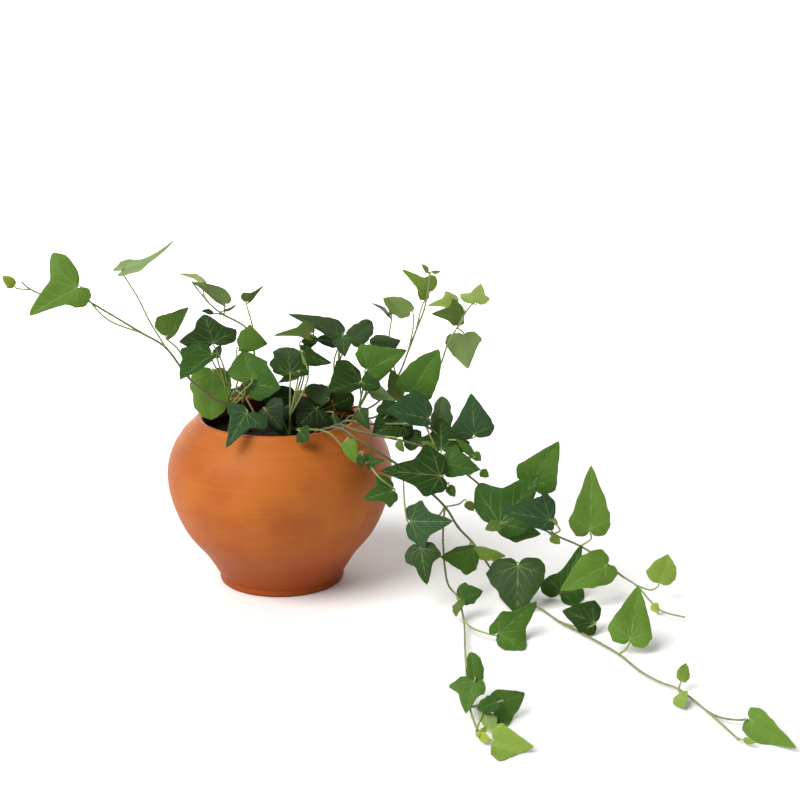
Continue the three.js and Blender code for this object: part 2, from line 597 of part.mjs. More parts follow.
function potOutside() {
  return new THREE.SplineCurve([
    new THREE.Vector2(FOOT_RADIUS + 1.2, FOOT_BEAD + 3),
    new THREE.Vector2(61.7, 25),
    new THREE.Vector2(77, 45),
    new THREE.Vector2(87.2, 70),
    new THREE.Vector2(BELLY_RADIUS, BELLY_HEIGHT),
    new THREE.Vector2(86.6, 108),
    new THREE.Vector2(78.5, 123),
    new THREE.Vector2(RIM_RADIUS + 0.5, POT_HEIGHT - LIP),
  ]).getPoints(8);
}

// The inner wall, from the rim down to the floor.
function potInside() {
  return potOutside().slice(1, -1).reverse()
    .map((point) => new THREE.Vector2(point.x - WALL, Math.max(point.y, FLOOR_THICKNESS)));
}

function potProfile() {
  const rim = [0.25, 0.5, 0.75].map((part) => new THREE.Vector2(
    RIM_RADIUS - LIP + LIP * Math.cos(part * Math.PI),
    POT_HEIGHT - LIP + LIP * Math.sin(part * Math.PI),
  ));
  return [
    new THREE.Vector2(0, 0),
    new THREE.Vector2(FOOT_RADIUS - 1, 0),
    new THREE.Vector2(FOOT_RADIUS + 0.6, FOOT_BEAD / 2),
    new THREE.Vector2(FOOT_RADIUS - 0.2, FOOT_BEAD),
    ...potOutside(),
    ...rim,
    ...potInside(),
    new THREE.Vector2(FOOT_RADIUS - WALL, FLOOR_THICKNESS),
    new THREE.Vector2(0, FLOOR_THICKNESS),
  ];
}

function lathe(profile, sides) {
  const geometry = new THREE.LatheGeometry(profile, sides);
  geometry.rotateX(Math.PI / 2);
  return geometry;
}

function soilBlock(holes) {
  const wall = potInside();
  const below = wall.findIndex((point) => point.y < SOIL_LEVEL);
  const above = wall[below - 1];
  const edge = above.clone().lerp(wall[below], (above.y - SOIL_LEVEL) / (above.y - wall[below].y));
  const side = [edge, ...wall.slice(below).filter((point) => point.y > FLOOR_THICKNESS)]
    .map((point) => new THREE.Vector2(point.x - CLEARANCE * 1.6, point.y));
  const outline = [
    new THREE.Vector2(0, SOIL_LEVEL + 2),
    new THREE.Vector2(30, SOIL_LEVEL + 1),
    ...side,
    new THREE.Vector2(FOOT_RADIUS - WALL - 1, FLOOR_THICKNESS + CLEARANCE),
    new THREE.Vector2(0, FLOOR_THICKNESS + CLEARANCE),
  ].reverse();
  const block = toSolid(lathe(outline, SOIL_SIDES));
  return holes.reduce((soil, { root: [x, y], radius }) => {
    const hole = new THREE.CylinderGeometry(radius + HOLE_PLAY, radius + HOLE_PLAY, 30, 6);
    hole.rotateX(Math.PI / 2);
    hole.translate(x, y, SOIL_LEVEL - ROOT_DEPTH + 15);
    return soil.subtract(toSolid(hole));
  }, block);
}

// ---- the part ----
const part = new THREE.Group();

function addPiece(name, geometry, colour, roughness) {
  const material = new THREE.MeshStandardMaterial({ color: colour, roughness, metalness: 0 });
  const mesh = new THREE.Mesh(geometry, material);
  mesh.name = name;
  part.add(mesh);
}

addPiece('terracotta_pot', lathe(potProfile(), POT_SIDES), COLOURS.pot, 0.85);
const backRoots = BACK_ANGLES.map((over) => {
  const heading = THREE.MathUtils.degToRad(over);
  return { root: [BACK_ROOT * Math.cos(heading), BACK_ROOT * Math.sin(heading)], radius: BACK_RADIUS };
});
const mix = soilBlock([...Object.values(STEMS), ...backRoots]);
addPiece('potting_mix', toGeometry(mix), COLOURS.soil, 0.95);
Object.entries(STEMS).forEach(([name, stem]) => {
  addPiece(name, toGeometry(leafyStem(stem)), COLOURS.leaves, 0.5);
});
const draw = drawsFrom(BACK_SEED);
BACK_ANGLES.forEach((over, index) => {
  addPiece(`back_shoot_${index + 1}`, toGeometry(backShoot(over, draw)), COLOURS.leaves, 0.5);
});

export default part;
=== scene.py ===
# %% [markdown]
# # A potted ivy
#
# The object is a common ivy in a wheel-thrown terracotta pot. Some of its stems stand up
# in the pot, and the longest two hang over the rim and lie on the table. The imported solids
# hold every piece at its real size and place. This lesson dresses them: it turns the pot,
# grows the stems and blades along the same lines with far finer surfaces, and gives clay,
# soil and leaf the finish that the eye knows them by.

# %% The frame
import json
import math

import bpy
from mathutils import Matrix, Vector

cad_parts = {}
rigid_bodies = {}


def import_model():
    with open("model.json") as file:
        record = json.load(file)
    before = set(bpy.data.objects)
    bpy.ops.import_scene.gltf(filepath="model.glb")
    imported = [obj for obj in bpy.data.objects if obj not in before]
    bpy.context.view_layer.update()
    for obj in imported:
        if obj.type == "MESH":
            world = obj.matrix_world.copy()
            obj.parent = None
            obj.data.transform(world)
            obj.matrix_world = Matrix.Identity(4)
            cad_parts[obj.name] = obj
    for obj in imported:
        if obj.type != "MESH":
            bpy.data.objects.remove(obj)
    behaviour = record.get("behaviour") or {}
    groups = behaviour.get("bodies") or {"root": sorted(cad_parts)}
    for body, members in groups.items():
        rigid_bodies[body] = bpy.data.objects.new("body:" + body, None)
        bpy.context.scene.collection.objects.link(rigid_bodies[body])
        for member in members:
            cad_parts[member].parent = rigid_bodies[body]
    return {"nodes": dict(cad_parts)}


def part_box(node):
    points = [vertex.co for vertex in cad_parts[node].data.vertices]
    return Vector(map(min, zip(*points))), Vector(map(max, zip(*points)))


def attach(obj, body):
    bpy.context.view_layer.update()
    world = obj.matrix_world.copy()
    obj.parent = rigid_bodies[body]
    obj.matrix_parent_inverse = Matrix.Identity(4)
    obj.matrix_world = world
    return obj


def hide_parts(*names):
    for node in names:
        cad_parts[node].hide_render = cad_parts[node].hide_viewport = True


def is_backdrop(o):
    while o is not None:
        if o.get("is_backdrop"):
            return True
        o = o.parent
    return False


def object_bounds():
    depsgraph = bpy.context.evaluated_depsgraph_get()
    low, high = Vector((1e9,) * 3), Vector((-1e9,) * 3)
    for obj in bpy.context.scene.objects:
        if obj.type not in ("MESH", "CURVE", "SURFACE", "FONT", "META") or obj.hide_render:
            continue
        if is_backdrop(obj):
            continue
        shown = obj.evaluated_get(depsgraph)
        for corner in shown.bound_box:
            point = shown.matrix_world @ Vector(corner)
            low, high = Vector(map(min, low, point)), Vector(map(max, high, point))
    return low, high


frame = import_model()
cad_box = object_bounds()
print("pieces in the frame:", sorted(frame["nodes"]))
print("its box in metres:", [[round(value, 3) for value in corner] for corner in cad_box])

# %% [markdown]
# ## The view
#
# The places of stems and leaves are known from one view: a column and a row of the picture,
# and how deep the point lies. So the view comes first. It is a pinhole camera that stands
# 1.29 m in front of the pot and half a metre above the table, and looks 15 degrees down.
# The same numbers aim Blender's camera and turn picture points into places in the room.

# %% The camera and its lines of sight
MM = 0.001
EYE = Vector((0.0, -1.290, 0.495))
VIEW_YAW = 0.0748
VIEW_PITCH = 0.2631
VIEW_FOCAL = 1672.5          # in picture points
PICTURE_SIDE = 800
SENSOR = 36.0

FORWARD = Vector((
    math.sin(VIEW_YAW) * math.cos(VIEW_PITCH),
    math.cos(VIEW_YAW) * math.cos(VIEW_PITCH),
    -math.sin(VIEW_PITCH),
))
RIGHT = Vector((math.cos(VIEW_YAW), -math.sin(VIEW_YAW), 0.0))
UP = RIGHT.cross(FORWARD)


def sight(spot):
    """The place seen at a picture column and row that lies at the given depth in mm."""
    column, row, depth = spot
    across = (column - PICTURE_SIDE / 2) / VIEW_FOCAL
    upward = (PICTURE_SIDE / 2 - row) / VIEW_FOCAL
    ray = FORWARD + RIGHT * across + UP * upward
    return EYE + ray * ((depth * MM - EYE.y) / ray.y)


lens = bpy.data.cameras.new("camera")
lens.sensor_width = SENSOR
lens.lens = SENSOR * VIEW_FOCAL / PICTURE_SIDE
camera = bpy.data.objects.new("camera", lens)
camera.matrix_world = Matrix.Translation(EYE) @ Matrix((RIGHT, UP, -FORWARD)).transposed().to_4x4()
bpy.context.scene.collection.objects.link(camera)
bpy.context.scene.camera = camera
print("lens:", round(lens.lens, 1), "mm, eye:", tuple(round(value, 3) for value in EYE))

# %% [markdown]
# ## Light and floor
#
# The plant is lit as in a small studio: a pale room gives soft light from everywhere, and
# a large window high at the front left gives it a direction, a sheen on the clay and soft
# shadows. The window is a sun with a wide disc, because a sun lights the whole floor
# evenly. The floor is one pale sheet that rises into a wall far behind, so that no edge of
# it shows, and a lamp of its own keeps the wall as pale as the floor.

# %% The room, the lamps and the floor
def hang(name, kind, place, target, power):
    """A lamp of that kind at a place, turned so that it shines at the target."""
    light = bpy.data.lights.new(name, kind)
    light.energy = power
    lamp = bpy.data.objects.new(name, light)
    lamp.location = place
    lamp.rotation_euler = (Vector(target) - Vector(place)).to_track_quat("-Z", "Y").to_euler()
    bpy.context.scene.collection.objects.link(lamp)
    return light


ROOM_BRIGHTNESS = 0.28
WINDOW_PLACE = (-1.20, -0.78, 1.41)
WINDOW_POWER = 3.75
WINDOW_DEGREES = 44          # across, seen from the pot
WINDOW_WARMTH = (1.0, 0.985, 0.965)
WALL_LAMP_POWER = 260.0

room = bpy.data.worlds.new("pale room")
room.use_nodes = True
sky = room.node_tree.nodes["Background"].inputs
sky["Color"].default_value = (1.0, 1.0, 1.0, 1.0)
sky["Strength"].default_value = ROOM_BRIGHTNESS
bpy.context.scene.world = room
bpy.context.scene.view_settings.view_transform = "Standard"

window = hang("window", "SUN", WINDOW_PLACE, (0.0, 0.0, 0.0), WINDOW_POWER)
window.angle = math.radians(WINDOW_DEGREES)
window.color = WINDOW_WARMTH
wall_lamp = hang("wall lamp", "AREA", (0.0, 1.8, 2.6), (0.0, 5.0, 0.8), WALL_LAMP_POWER)
wall_lamp.size = 3.0

FLOOR_HALF = 6.0
WALL_START = 3.0
WALL_BEND = 2.0
BEND_STEPS = 12

sweep = [(-FLOOR_HALF, 0.0)]
for step in range(BEND_STEPS + 1):
    turn = math.pi / 2 * step / BEND_STEPS
    sweep.append((WALL_START + WALL_BEND * math.sin(turn), WALL_BEND * (1 - math.cos(turn))))
sweep.append((WALL_START + WALL_BEND, FLOOR_HALF))
floor_points = [(side, y, z) for y, z in sweep for side in (-FLOOR_HALF, FLOOR_HALF)]
floor_faces = [(2 * n, 2 * n + 1, 2 * n + 3, 2 * n + 2) for n in range(len(sweep) - 1)]
floor_mesh = bpy.data.meshes.new("floor")
floor_mesh.from_pydata(floor_points, [], floor_faces)
floor_mesh.shade_smooth()
paper = bpy.data.materials.new("pale paper")
paper.use_nodes = True
surface = paper.node_tree.nodes["Principled BSDF"].inputs
surface["Base Color"].default_value = (0.95, 0.95, 0.95, 1.0)
surface["Roughness"].default_value = 0.9
floor_mesh.materials.append(paper)
floor = bpy.data.objects.new("floor", floor_mesh)
bpy.context.scene.collection.objects.link(floor)
floor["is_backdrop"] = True
print("floor:", len(floor_faces), "faces")

# %% [markdown]
# ## Sums that become nodes
#
# Materials and Geometry Nodes are both graphs of small sums. Written node by node they are
# long and hard to read. `Wire` wraps the output of a node and gives it the signs of
# arithmetic, so that `1 - mask` adds a Math node, and a sum of places or colours adds a
# Vector Math node. `Board` wraps the graph itself, and its method `add` adds any other node.

# %% Wires and boards
def is_vector(value):
    """Whether a wire or a plain value holds three numbers."""
    if isinstance(value, Wire):
        return value.socket.type in {"VECTOR", "RGBA"}
    return isinstance(value, (tuple, Vector))


class Wire:
    """A node's output, on which sums can be written."""

    def __init__(self, board, socket):
        self.board = board
        self.socket = socket

    def sum(self, operation, *terms):
        """One node of arithmetic. Terms are wires, numbers or vectors."""
        vectors = any(is_vector(term) for term in terms)
        kind = "ShaderNodeVectorMath" if vectors else "ShaderNodeMath"
        return self.board.add(kind, {"operation": operation}, dict(enumerate(terms)))

    def __add__(self, other):
        return self.sum("ADD", self, other)

    def __radd__(self, other):
        return self.sum("ADD", other, self)

    def __sub__(self, other):
        return self.sum("SUBTRACT", self, other)

    def __rsub__(self, other):
        return self.sum("SUBTRACT", other, self)

    def __mul__(self, other):
        if is_vector(self) == is_vector(other):
            return self.sum("MULTIPLY", self, other)
        arrow, size = (self, other) if is_vector(self) else (other, self)
        return self.board.add(
            "ShaderNodeVectorMath", {"operation": "SCALE"}, {0: arrow, "Scale": size})

    def __rmul__(self, other):
        return self * other

    def __truediv__(self, other):
        return self.sum("DIVIDE", self, other)

    def at_most(self, other):
        return self.sum("MINIMUM", self, other)

    def at_least(self, other):
        return self.sum("MAXIMUM", self, other)

    def dot(self, other):
        return self.board.add(
            "ShaderNodeVectorMath", {"operation": "DOT_PRODUCT"}, {0: self, 1: other}, "Value")

    def length(self):
        return self.board.add("ShaderNodeVectorMath", {"operation": "LENGTH"}, {0: self}, "Value")

    def parts(self):
        """The three numbers of a vector."""
        names = ("X", "Y", "Z")
        return [self.board.add("ShaderNodeSeparateXYZ", {}, {0: self}, name) for name in names]

    def rise(self, low, high):
        """0 below low and 1 above high, with a smooth step between."""
        sockets = {"Value": self, "From Min": low, "From Max": high, "To Min": 0.0, "To Max": 1.0}
        return self.board.add("ShaderNodeMapRange", {"interpolation_type": "SMOOTHSTEP"}, sockets)


class Board:
    """A node graph, and the one way in which a node is added to it."""

    def __init__(self, tree):
        self.tree = tree

    def plug(self, node, key, value):
        if isinstance(key, str):
            socket = next(item for item in node.inputs if item.enabled and item.name == key)
        else:
            socket = node.inputs[key]
        if isinstance(value, Wire):
            self.tree.links.new(value.socket, socket)
        elif socket.type == "RGBA" and len(value) == 3:
            socket.default_value = (*value, 1.0)
        else:
            socket.default_value = value

    def add(self, kind, settings, sockets, out=0):
        """A node of that kind: its settings first, then its sockets' values or wires."""
        node = self.tree.nodes.new(kind)
        for name, value in settings.items():
            setattr(node, name, value)
        for key, value in sockets.items():
            self.plug(node, key, value)
        if isinstance(out, int):
            return Wire(self, [item for item in node.outputs if item.enabled][out])
        return Wire(self, next(item for item in node.outputs if item.enabled and item.name == out))

    def mix(self, share, first, second):
        """A blend of two colours: all of the first at 0, and all of the second at 1."""
        return self.add(
            "ShaderNodeMix", {"data_type": "RGBA"}, {"Factor": share, "A": first, "B": second})

    def vector(self, x=0.0, y=0.0, z=0.0):
        """Three numbers or wires as one vector."""
        return self.add("ShaderNodeCombineXYZ", {}, {"X": x, "Y": y, "Z": z})

    def join(self, *pieces):
        """Several geometries as one."""
        node = self.tree.nodes.new("GeometryNodeJoinGeometry")
        for piece in pieces:
            self.tree.links.new(piece.socket, node.inputs[0])
        return Wire(self, node.outputs[0])


print("Wire and Board are ready")

# %% [markdown]
# ## Smooth lines and modifiers
#
# A profile or an outline is drawn with a handful of points and a smooth curve through them,
# as a draughtsman uses a bent strip of wood. `smooth_through` is that strip. A Geometry
# Nodes graph becomes a plain mesh when the modifier that holds it has been evaluated.

# %% A smooth line, and graphs turned into meshes
def smooth_through(points, steps, slack=0.5):
    """A smooth line through the points. With less slack it runs straighter between them."""
    line = []
    last = len(points) - 1
    for index in range(last):
        before, start = points[max(index - 1, 0)], points[index]
        end, after = points[index + 1], points[min(index + 2, last)]
        for step in range(steps):
            t = step / steps
            pull_start, pull_end = (end - before) * slack, (after - start) * slack
            line.append(
                start * (2 * t**3 - 3 * t**2 + 1) + pull_start * (t**3 - 2 * t**2 + t)
                + end * (3 * t**2 - 2 * t**3) + pull_end * (t**3 - t**2))
    line.append(points[last].copy())
    return line


def evenly(line, count):
    """The same line with count + 1 points at equal distances."""
    reached = [0.0]
    for start, end in zip(line, line[1:]):
        reached.append(reached[-1] + (end - start).length)
    spaced = []
    span = 0
    for number in range(count + 1):
        goal = reached[-1] * number / count
        while span < len(line) - 2 and reached[span + 1] < goal:
            span += 1
        share = (goal - reached[span]) / (reached[span + 1] - reached[span])
        spaced.append(line[span].lerp(line[span + 1], share))
    return spaced


def new_object(name, mesh):
    thing = bpy.data.objects.new(name, mesh)
    bpy.context.scene.collection.objects.link(thing)
    return thing


def new_graph(name, inputs):
    """A Geometry Nodes graph with a geometry in and out, and inputs of the given kinds."""
    tree = bpy.data.node_groups.new(name, "GeometryNodeTree")
    tree.interface.new_socket("Geometry", in_out="INPUT", socket_type="NodeSocketGeometry")
    for label, kind in inputs.items():
        tree.interface.new_socket(label, in_out="INPUT", socket_type=kind)
    tree.interface.new_socket("Geometry", in_out="OUTPUT", socket_type="NodeSocketGeometry")
    board = Board(tree)
    source = tree.nodes.new("NodeGroupInput")
    entry = {socket.name: Wire(board, socket) for socket in source.outputs if socket.name}
    return board, entry


def finish_graph(board, geometry):
    """Realises what the graph instanced and sends it out."""
    whole = board.add("GeometryNodeRealizeInstances", {}, {"Geometry": geometry})
    sink = board.tree.nodes.new("NodeGroupOutput")
    board.tree.links.new(whole.socket, sink.inputs["Geometry"])


def grow(thing, board, values):
    """Runs a graph on an object with these input values, and keeps the result as its mesh."""
    modifier = thing.modifiers.new("growth", "NODES")
    modifier.node_group = board.tree
    for item in board.tree.interface.items_tree:
        if item.in_out == "INPUT" and item.name in values:
            modifier[item.identifier] = values[item.name]
    depsgraph = bpy.context.evaluated_depsgraph_get()
    mesh = bpy.data.meshes.new_from_object(thing.evaluated_get(depsgraph))
    thing.modifiers.clear()
    thing.data = mesh
    mesh.name = thing.name
    return thing


def dress(thing, *nodes, slot):
    """Lets a finished piece stand for its solids."""
    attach(thing, "root")
    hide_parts(*nodes)
    triangles = sum(len(face.vertices) - 2 for face in thing.data.polygons)
    print(f"{thing.name}: {triangles} triangles")


print("helpers are ready")

# %% [markdown]
# ## Clay
#
# The pot is unglazed earthenware, thrown on a wheel. Its colour is a warm orange brown that
# wanders a little from paler to redder patches. The wheel left fine level lines, some deeper
# than others, and the clay is grainy. Noise that is stretched so that it changes only with
# height gives the lines, because every point of a level line met the same finger. Towards
# the foot the colour is painted darker: painted shade on the lower belly.

# %% The clay's material
CLAY_ORANGE = (0.440, 0.122, 0.017)
CLAY_RED = (0.345, 0.080, 0.012)
CLAY_PALE = (0.510, 0.172, 0.042)
# painted shade: a darker clay colour for the lower belly and the foot
CLAY_FOOT_SHADE = (0.265, 0.045, 0.003)
FOOT_SHADE_HEIGHT = 0.075          # up to which the painted shade at the foot reaches
FOOT_SHADE_SHARE = 0.85            # of the painted shade's colour, at the foot


def new_material(name):
    """A material's board, and its Principled shader with that board's plugs."""
    material = bpy.data.materials.new(name)
    material.use_nodes = True
    return material, Board(material.node_tree), material.node_tree.nodes["Principled BSDF"]


def noise(board, place, scale, detail=2.0, roughness=0.5, kind="3D"):
    sockets = {"Scale": scale, "Detail": detail, "Roughness": roughness}
    sockets["W" if kind == "1D" else "Vector"] = place
    return board.add("ShaderNodeTexNoise", {"noise_dimensions": kind}, sockets, "Fac")


def bump(board, height, strength, distance):
    sockets = {"Height": height, "Strength": strength, "Distance": distance}
    return board.add("ShaderNodeBump", {}, sockets)


clay, board, shader = new_material("terracotta")
place = board.add("ShaderNodeTexCoord", {}, {}, "Object")
height = place.parts()[2]
wander = noise(board, place, 9.0) * 0.004
lines = noise(board, height + wander, 420.0, 3.0, 0.65, "1D")
patches = noise(board, place, 22.0, 3.0)
grain = noise(board, place, 1900.0, 2.0)
colour = board.mix(patches.rise(0.35, 0.75), CLAY_ORANGE, CLAY_RED)
colour = board.mix(lines.rise(0.45, 0.9) * 0.35, colour, CLAY_PALE)
colour = board.mix(grain.rise(0.55, 0.8) * 0.25, colour, CLAY_RED)
# painted shade: the clay colour is darkened towards the foot
colour = board.mix((1 - height.rise(0.0, FOOT_SHADE_HEIGHT)) * FOOT_SHADE_SHARE, colour, CLAY_FOOT_SHADE)
board.plug(shader, "Base Color", colour)
board.plug(shader, "Specular IOR Level", 0.17)
board.plug(shader, "Roughness", 0.44 + lines * 0.14)
board.plug(shader, "Normal", bump(board, lines * 0.7 + grain * 0.3, 0.28, 0.0006))
print("clay:", len(board.tree.nodes), "nodes")

# %% [markdown]
# ## The pot
#
# A turned thing is one profile carried round an axis, so the pot is drawn as half a section:
# the flat foot, the rounded bead above it, the full belly, a shallow groove at the shoulder
# where the thrower's rib rested, the thin lip, and the inside wall. The graph sweeps it
# round a circle with Curve to Mesh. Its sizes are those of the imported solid.

# %% The pot's section
POT_HEIGHT = 0.137
FOOT_RADIUS = 0.0496
RIM_RADIUS = 0.0668
WALL = 0.006
FLOOR_THICKNESS = 0.008
GROOVE_HEIGHT = 0.1205
GROOVE_DEPTH = 0.0010
GROOVE_WIDTH = 0.0016
BEAD = [(0.0484, 0.0), (0.0498, 0.0008), (0.0503, 0.0024), (0.0499, 0.0041), (0.0494, 0.0052)]
BODY = [
    (0.0496, 0.0058), (0.0510, 0.0078), (0.0617, 0.025), (0.0770, 0.045), (0.0872, 0.070),
    (0.0900, 0.091), (0.0866, 0.108), (0.0785, 0.123), (0.0672, 0.1340),
]

pot_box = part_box("terracotta_pot")
body = smooth_through([Vector(point) for point in BODY], 10)
for point in body:
    point.x -= GROOVE_DEPTH * math.exp(-((point.y - GROOVE_HEIGHT) / GROOVE_WIDTH) ** 2)
lip_centre = Vector((RIM_RADIUS - WALL / 2, POT_HEIGHT - WALL / 2))
lip = [
    lip_centre + Vector((math.cos(turn), math.sin(turn))) * WALL / 2
    for turn in [math.pi * step / 8 for step in range(1, 8)]
]
inside = [Vector((point.x - WALL, max(point.y, FLOOR_THICKNESS))) for point in reversed(body[8:-2])]
section = [Vector((0.0, 0.0))] + [Vector(point) for point in BEAD] + body + lip + inside
section.append(Vector((0.0, FLOOR_THICKNESS)))
print("pot section:", len(section), "points")
print("the solid is", round(pot_box[1][2] - pot_box[0][2], 4), "m high")

# %% The pot, turned
POT_SIDES = 144
CORE_RADIUS = 0.01           # of the circle that the section is swept round

section_mesh = bpy.data.meshes.new("pot section")
section_mesh.from_pydata(
    [(point.x - CORE_RADIUS, -point.y, 0.0) for point in section],
    [(index, index + 1) for index in range(len(section) - 1)], [])

board, entry = new_graph("turned pot", {
    "Sides": "NodeSocketInt", "Core radius": "NodeSocketFloat", "Finish": "NodeSocketMaterial"})
circle = board.add("GeometryNodeCurvePrimitiveCircle", {}, {
    "Resolution": entry["Sides"], "Radius": entry["Core radius"]})
profile = board.add("GeometryNodeMeshToCurve", {}, {"Mesh": entry["Geometry"]})
turned = board.add("GeometryNodeCurveToMesh", {}, {"Curve": circle, "Profile Curve": profile})
closed = board.add("GeometryNodeMergeByDistance", {}, {"Geometry": turned, "Distance": 0.00001})
smooth = board.add("GeometryNodeSetShadeSmooth", {}, {"Geometry": closed})
finish_graph(board, board.add(
    "GeometryNodeSetMaterial", {}, {"Geometry": smooth, "Material": entry["Finish"]}))

pot = grow(new_object("terracotta_pot_thrown", section_mesh), board, {
    "Sides": POT_SIDES, "Core radius": CORE_RADIUS, "Finish": clay})
dress(pot, "terracotta_pot", slot="terracotta")

# %% [markdown]
# ## Potting mix
#
# Little of it shows, but the eye looks for it in the mouth of the pot. It is dark, crumbly
# and uneven. A low mound is lifted by noise, and some hundreds of small crumbs are strewn
# over its top by the graph, each a rough ball of its own size and turn.

# %% The mix's material
EARTH_DARK = (0.008, 0.005, 0.003)
EARTH_BROWN = (0.034, 0.020, 0.012)

earth, board, shader = new_material("potting mix")
place = board.add("ShaderNodeTexCoord", {}, {}, "Object")
clods = noise(board, place, 160.0, 4.0, 0.7)
specks = noise(board, place, 700.0, 2.0)
crumbling = (clods * 0.6 + specks * 0.4).rise(0.35, 0.7)
board.plug(shader, "Base Color", board.mix(crumbling, EARTH_DARK, EARTH_BROWN))
board.plug(shader, "Specular IOR Level", 0.1)
board.plug(shader, "Roughness", 0.85 + specks * 0.12)
board.plug(shader, "Normal", bump(board, clods + specks * 0.4, 0.6, 0.002))

# %% The mound and its crumbs
SOIL_LEVEL = 0.118
SOIL_SIDES = 72
SOIL_RINGS = 16
SOIL_GAP = 0.0009            # to the pot's wall
SOIL_BOTTOM = FLOOR_THICKNESS + 0.0005
SOIL_BOTTOM_REACH = 0.043
WALL_BAND = (SOIL_LEVEL - 0.002, SOIL_LEVEL + 0.004)    # the heights where the wall is measured
FULL_TURN = 6.28

wall_line = [point for point in reversed(section) if point.y < WALL_BAND[1]]
rim_reach = next(point.x for point in wall_line if point.y > WALL_BAND[0]) - SOIL_GAP
outline = [Vector((rim_reach * ring / SOIL_RINGS, SOIL_LEVEL)) for ring in range(1, SOIL_RINGS + 1)]
for point in inside:
    if FLOOR_THICKNESS < point.y < SOIL_LEVEL - 0.001:
        outline.append(Vector((point.x - SOIL_GAP, point.y)))
outline.append(Vector((SOIL_BOTTOM_REACH, SOIL_BOTTOM)))
points = [(0.0, 0.0, SOIL_LEVEL), (0.0, 0.0, SOIL_BOTTOM)]
for point in outline:
    for side in range(SOIL_SIDES):
        turn = 2 * math.pi * side / SOIL_SIDES
        points.append((point.x * math.cos(turn), point.x * math.sin(turn), point.y))
faces = []
for side in range(SOIL_SIDES):
    beside = (side + 1) % SOIL_SIDES
    faces.append((0, 2 + side, 2 + beside))
    last = 2 + (len(outline) - 1) * SOIL_SIDES
    faces.append((1, last + beside, last + side))
    for ring in range(len(outline) - 1):
        low, high = 2 + ring * SOIL_SIDES, 2 + (ring + 1) * SOIL_SIDES
        faces.append((low + side, high + side, high + beside, low + beside))
mound_mesh = bpy.data.meshes.new("mound")
mound_mesh.from_pydata(points, [], faces)
print("mound:", len(faces), "faces, reach", round(rim_reach, 4))

board, entry = new_graph("crumbly mound", {
    "Level": "NodeSocketFloat", "Lift": "NodeSocketFloat", "Crumbs": "NodeSocketFloat",
    "Crumb size": "NodeSocketFloat", "Seed": "NodeSocketInt", "Finish": "NodeSocketMaterial"})
place = board.add("GeometryNodeInputPosition", {}, {})
x, y, z = place.parts()
top = z.rise(entry["Level"] - 0.002, entry["Level"] - 0.0005)
inner = 1 - place.sum("MULTIPLY", place, (1.0, 1.0, 0.0)).length().rise(rim_reach * 0.9, rim_reach)
lumps = noise(board, place, 90.0, 4.0, 0.6)
lift = (lumps - 0.35) * entry["Lift"] * top * inner
raised = board.add("GeometryNodeSetPosition", {}, {
    "Geometry": entry["Geometry"], "Offset": board.vector(z=lift)})
scatter = board.add("GeometryNodeDistributePointsOnFaces", {}, {
    "Mesh": raised, "Selection": top * inner, "Density": entry["Crumbs"], "Seed": entry["Seed"]})
ball = board.add("GeometryNodeMeshIcoSphere", {}, {"Radius": 1.0, "Subdivisions": 2})
size = entry["Crumb size"] * board.add("FunctionNodeRandomValue", {"data_type": "FLOAT"}, {
    "Min": 0.25, "Max": 1.0, "Seed": entry["Seed"]})
spin = board.add("FunctionNodeRandomValue", {"data_type": "FLOAT_VECTOR"}, {
    "Max": (FULL_TURN, FULL_TURN, FULL_TURN), "Seed": entry["Seed"]})
crumbs = board.add("GeometryNodeInstanceOnPoints", {}, {
    "Points": scatter, "Instance": ball, "Rotation": spin,
    "Scale": board.vector(size, size * 0.7, size * 0.55)})
smooth = board.add("GeometryNodeSetShadeSmooth", {}, {"Geometry": board.join(raised, crumbs)})
finish_graph(board, board.add(
    "GeometryNodeSetMaterial", {}, {"Geometry": smooth, "Material": entry["Finish"]}))

mix = grow(new_object("potting_mix_crumbs", mound_mesh), board, {
    "Level": SOIL_LEVEL, "Lift": 0.007, "Crumbs": 26000.0, "Crumb size": 0.0024, "Seed": 4,
    "Finish": earth})
dress(mix, "potting_mix", slot="soil")

# %% [markdown]
# ## The flat plan of a blade
#
# Ivy blades are alike and never the same. Each form has one flat plan, a unit long: a half
# outline from the stalk, round the lobes, to the tip. Rows run from the midrib to the edge,
# as the veins do. The plan has an upper and a lower sheet that share their edge, which makes
# the edge thin, as on the real leaf, and the edge is marked as sharp, so that the blade is
# not shaded as if it were a cushion. The plan keeps its own coordinates as an attribute,
# because the graph bends it later and the veins are painted from them.

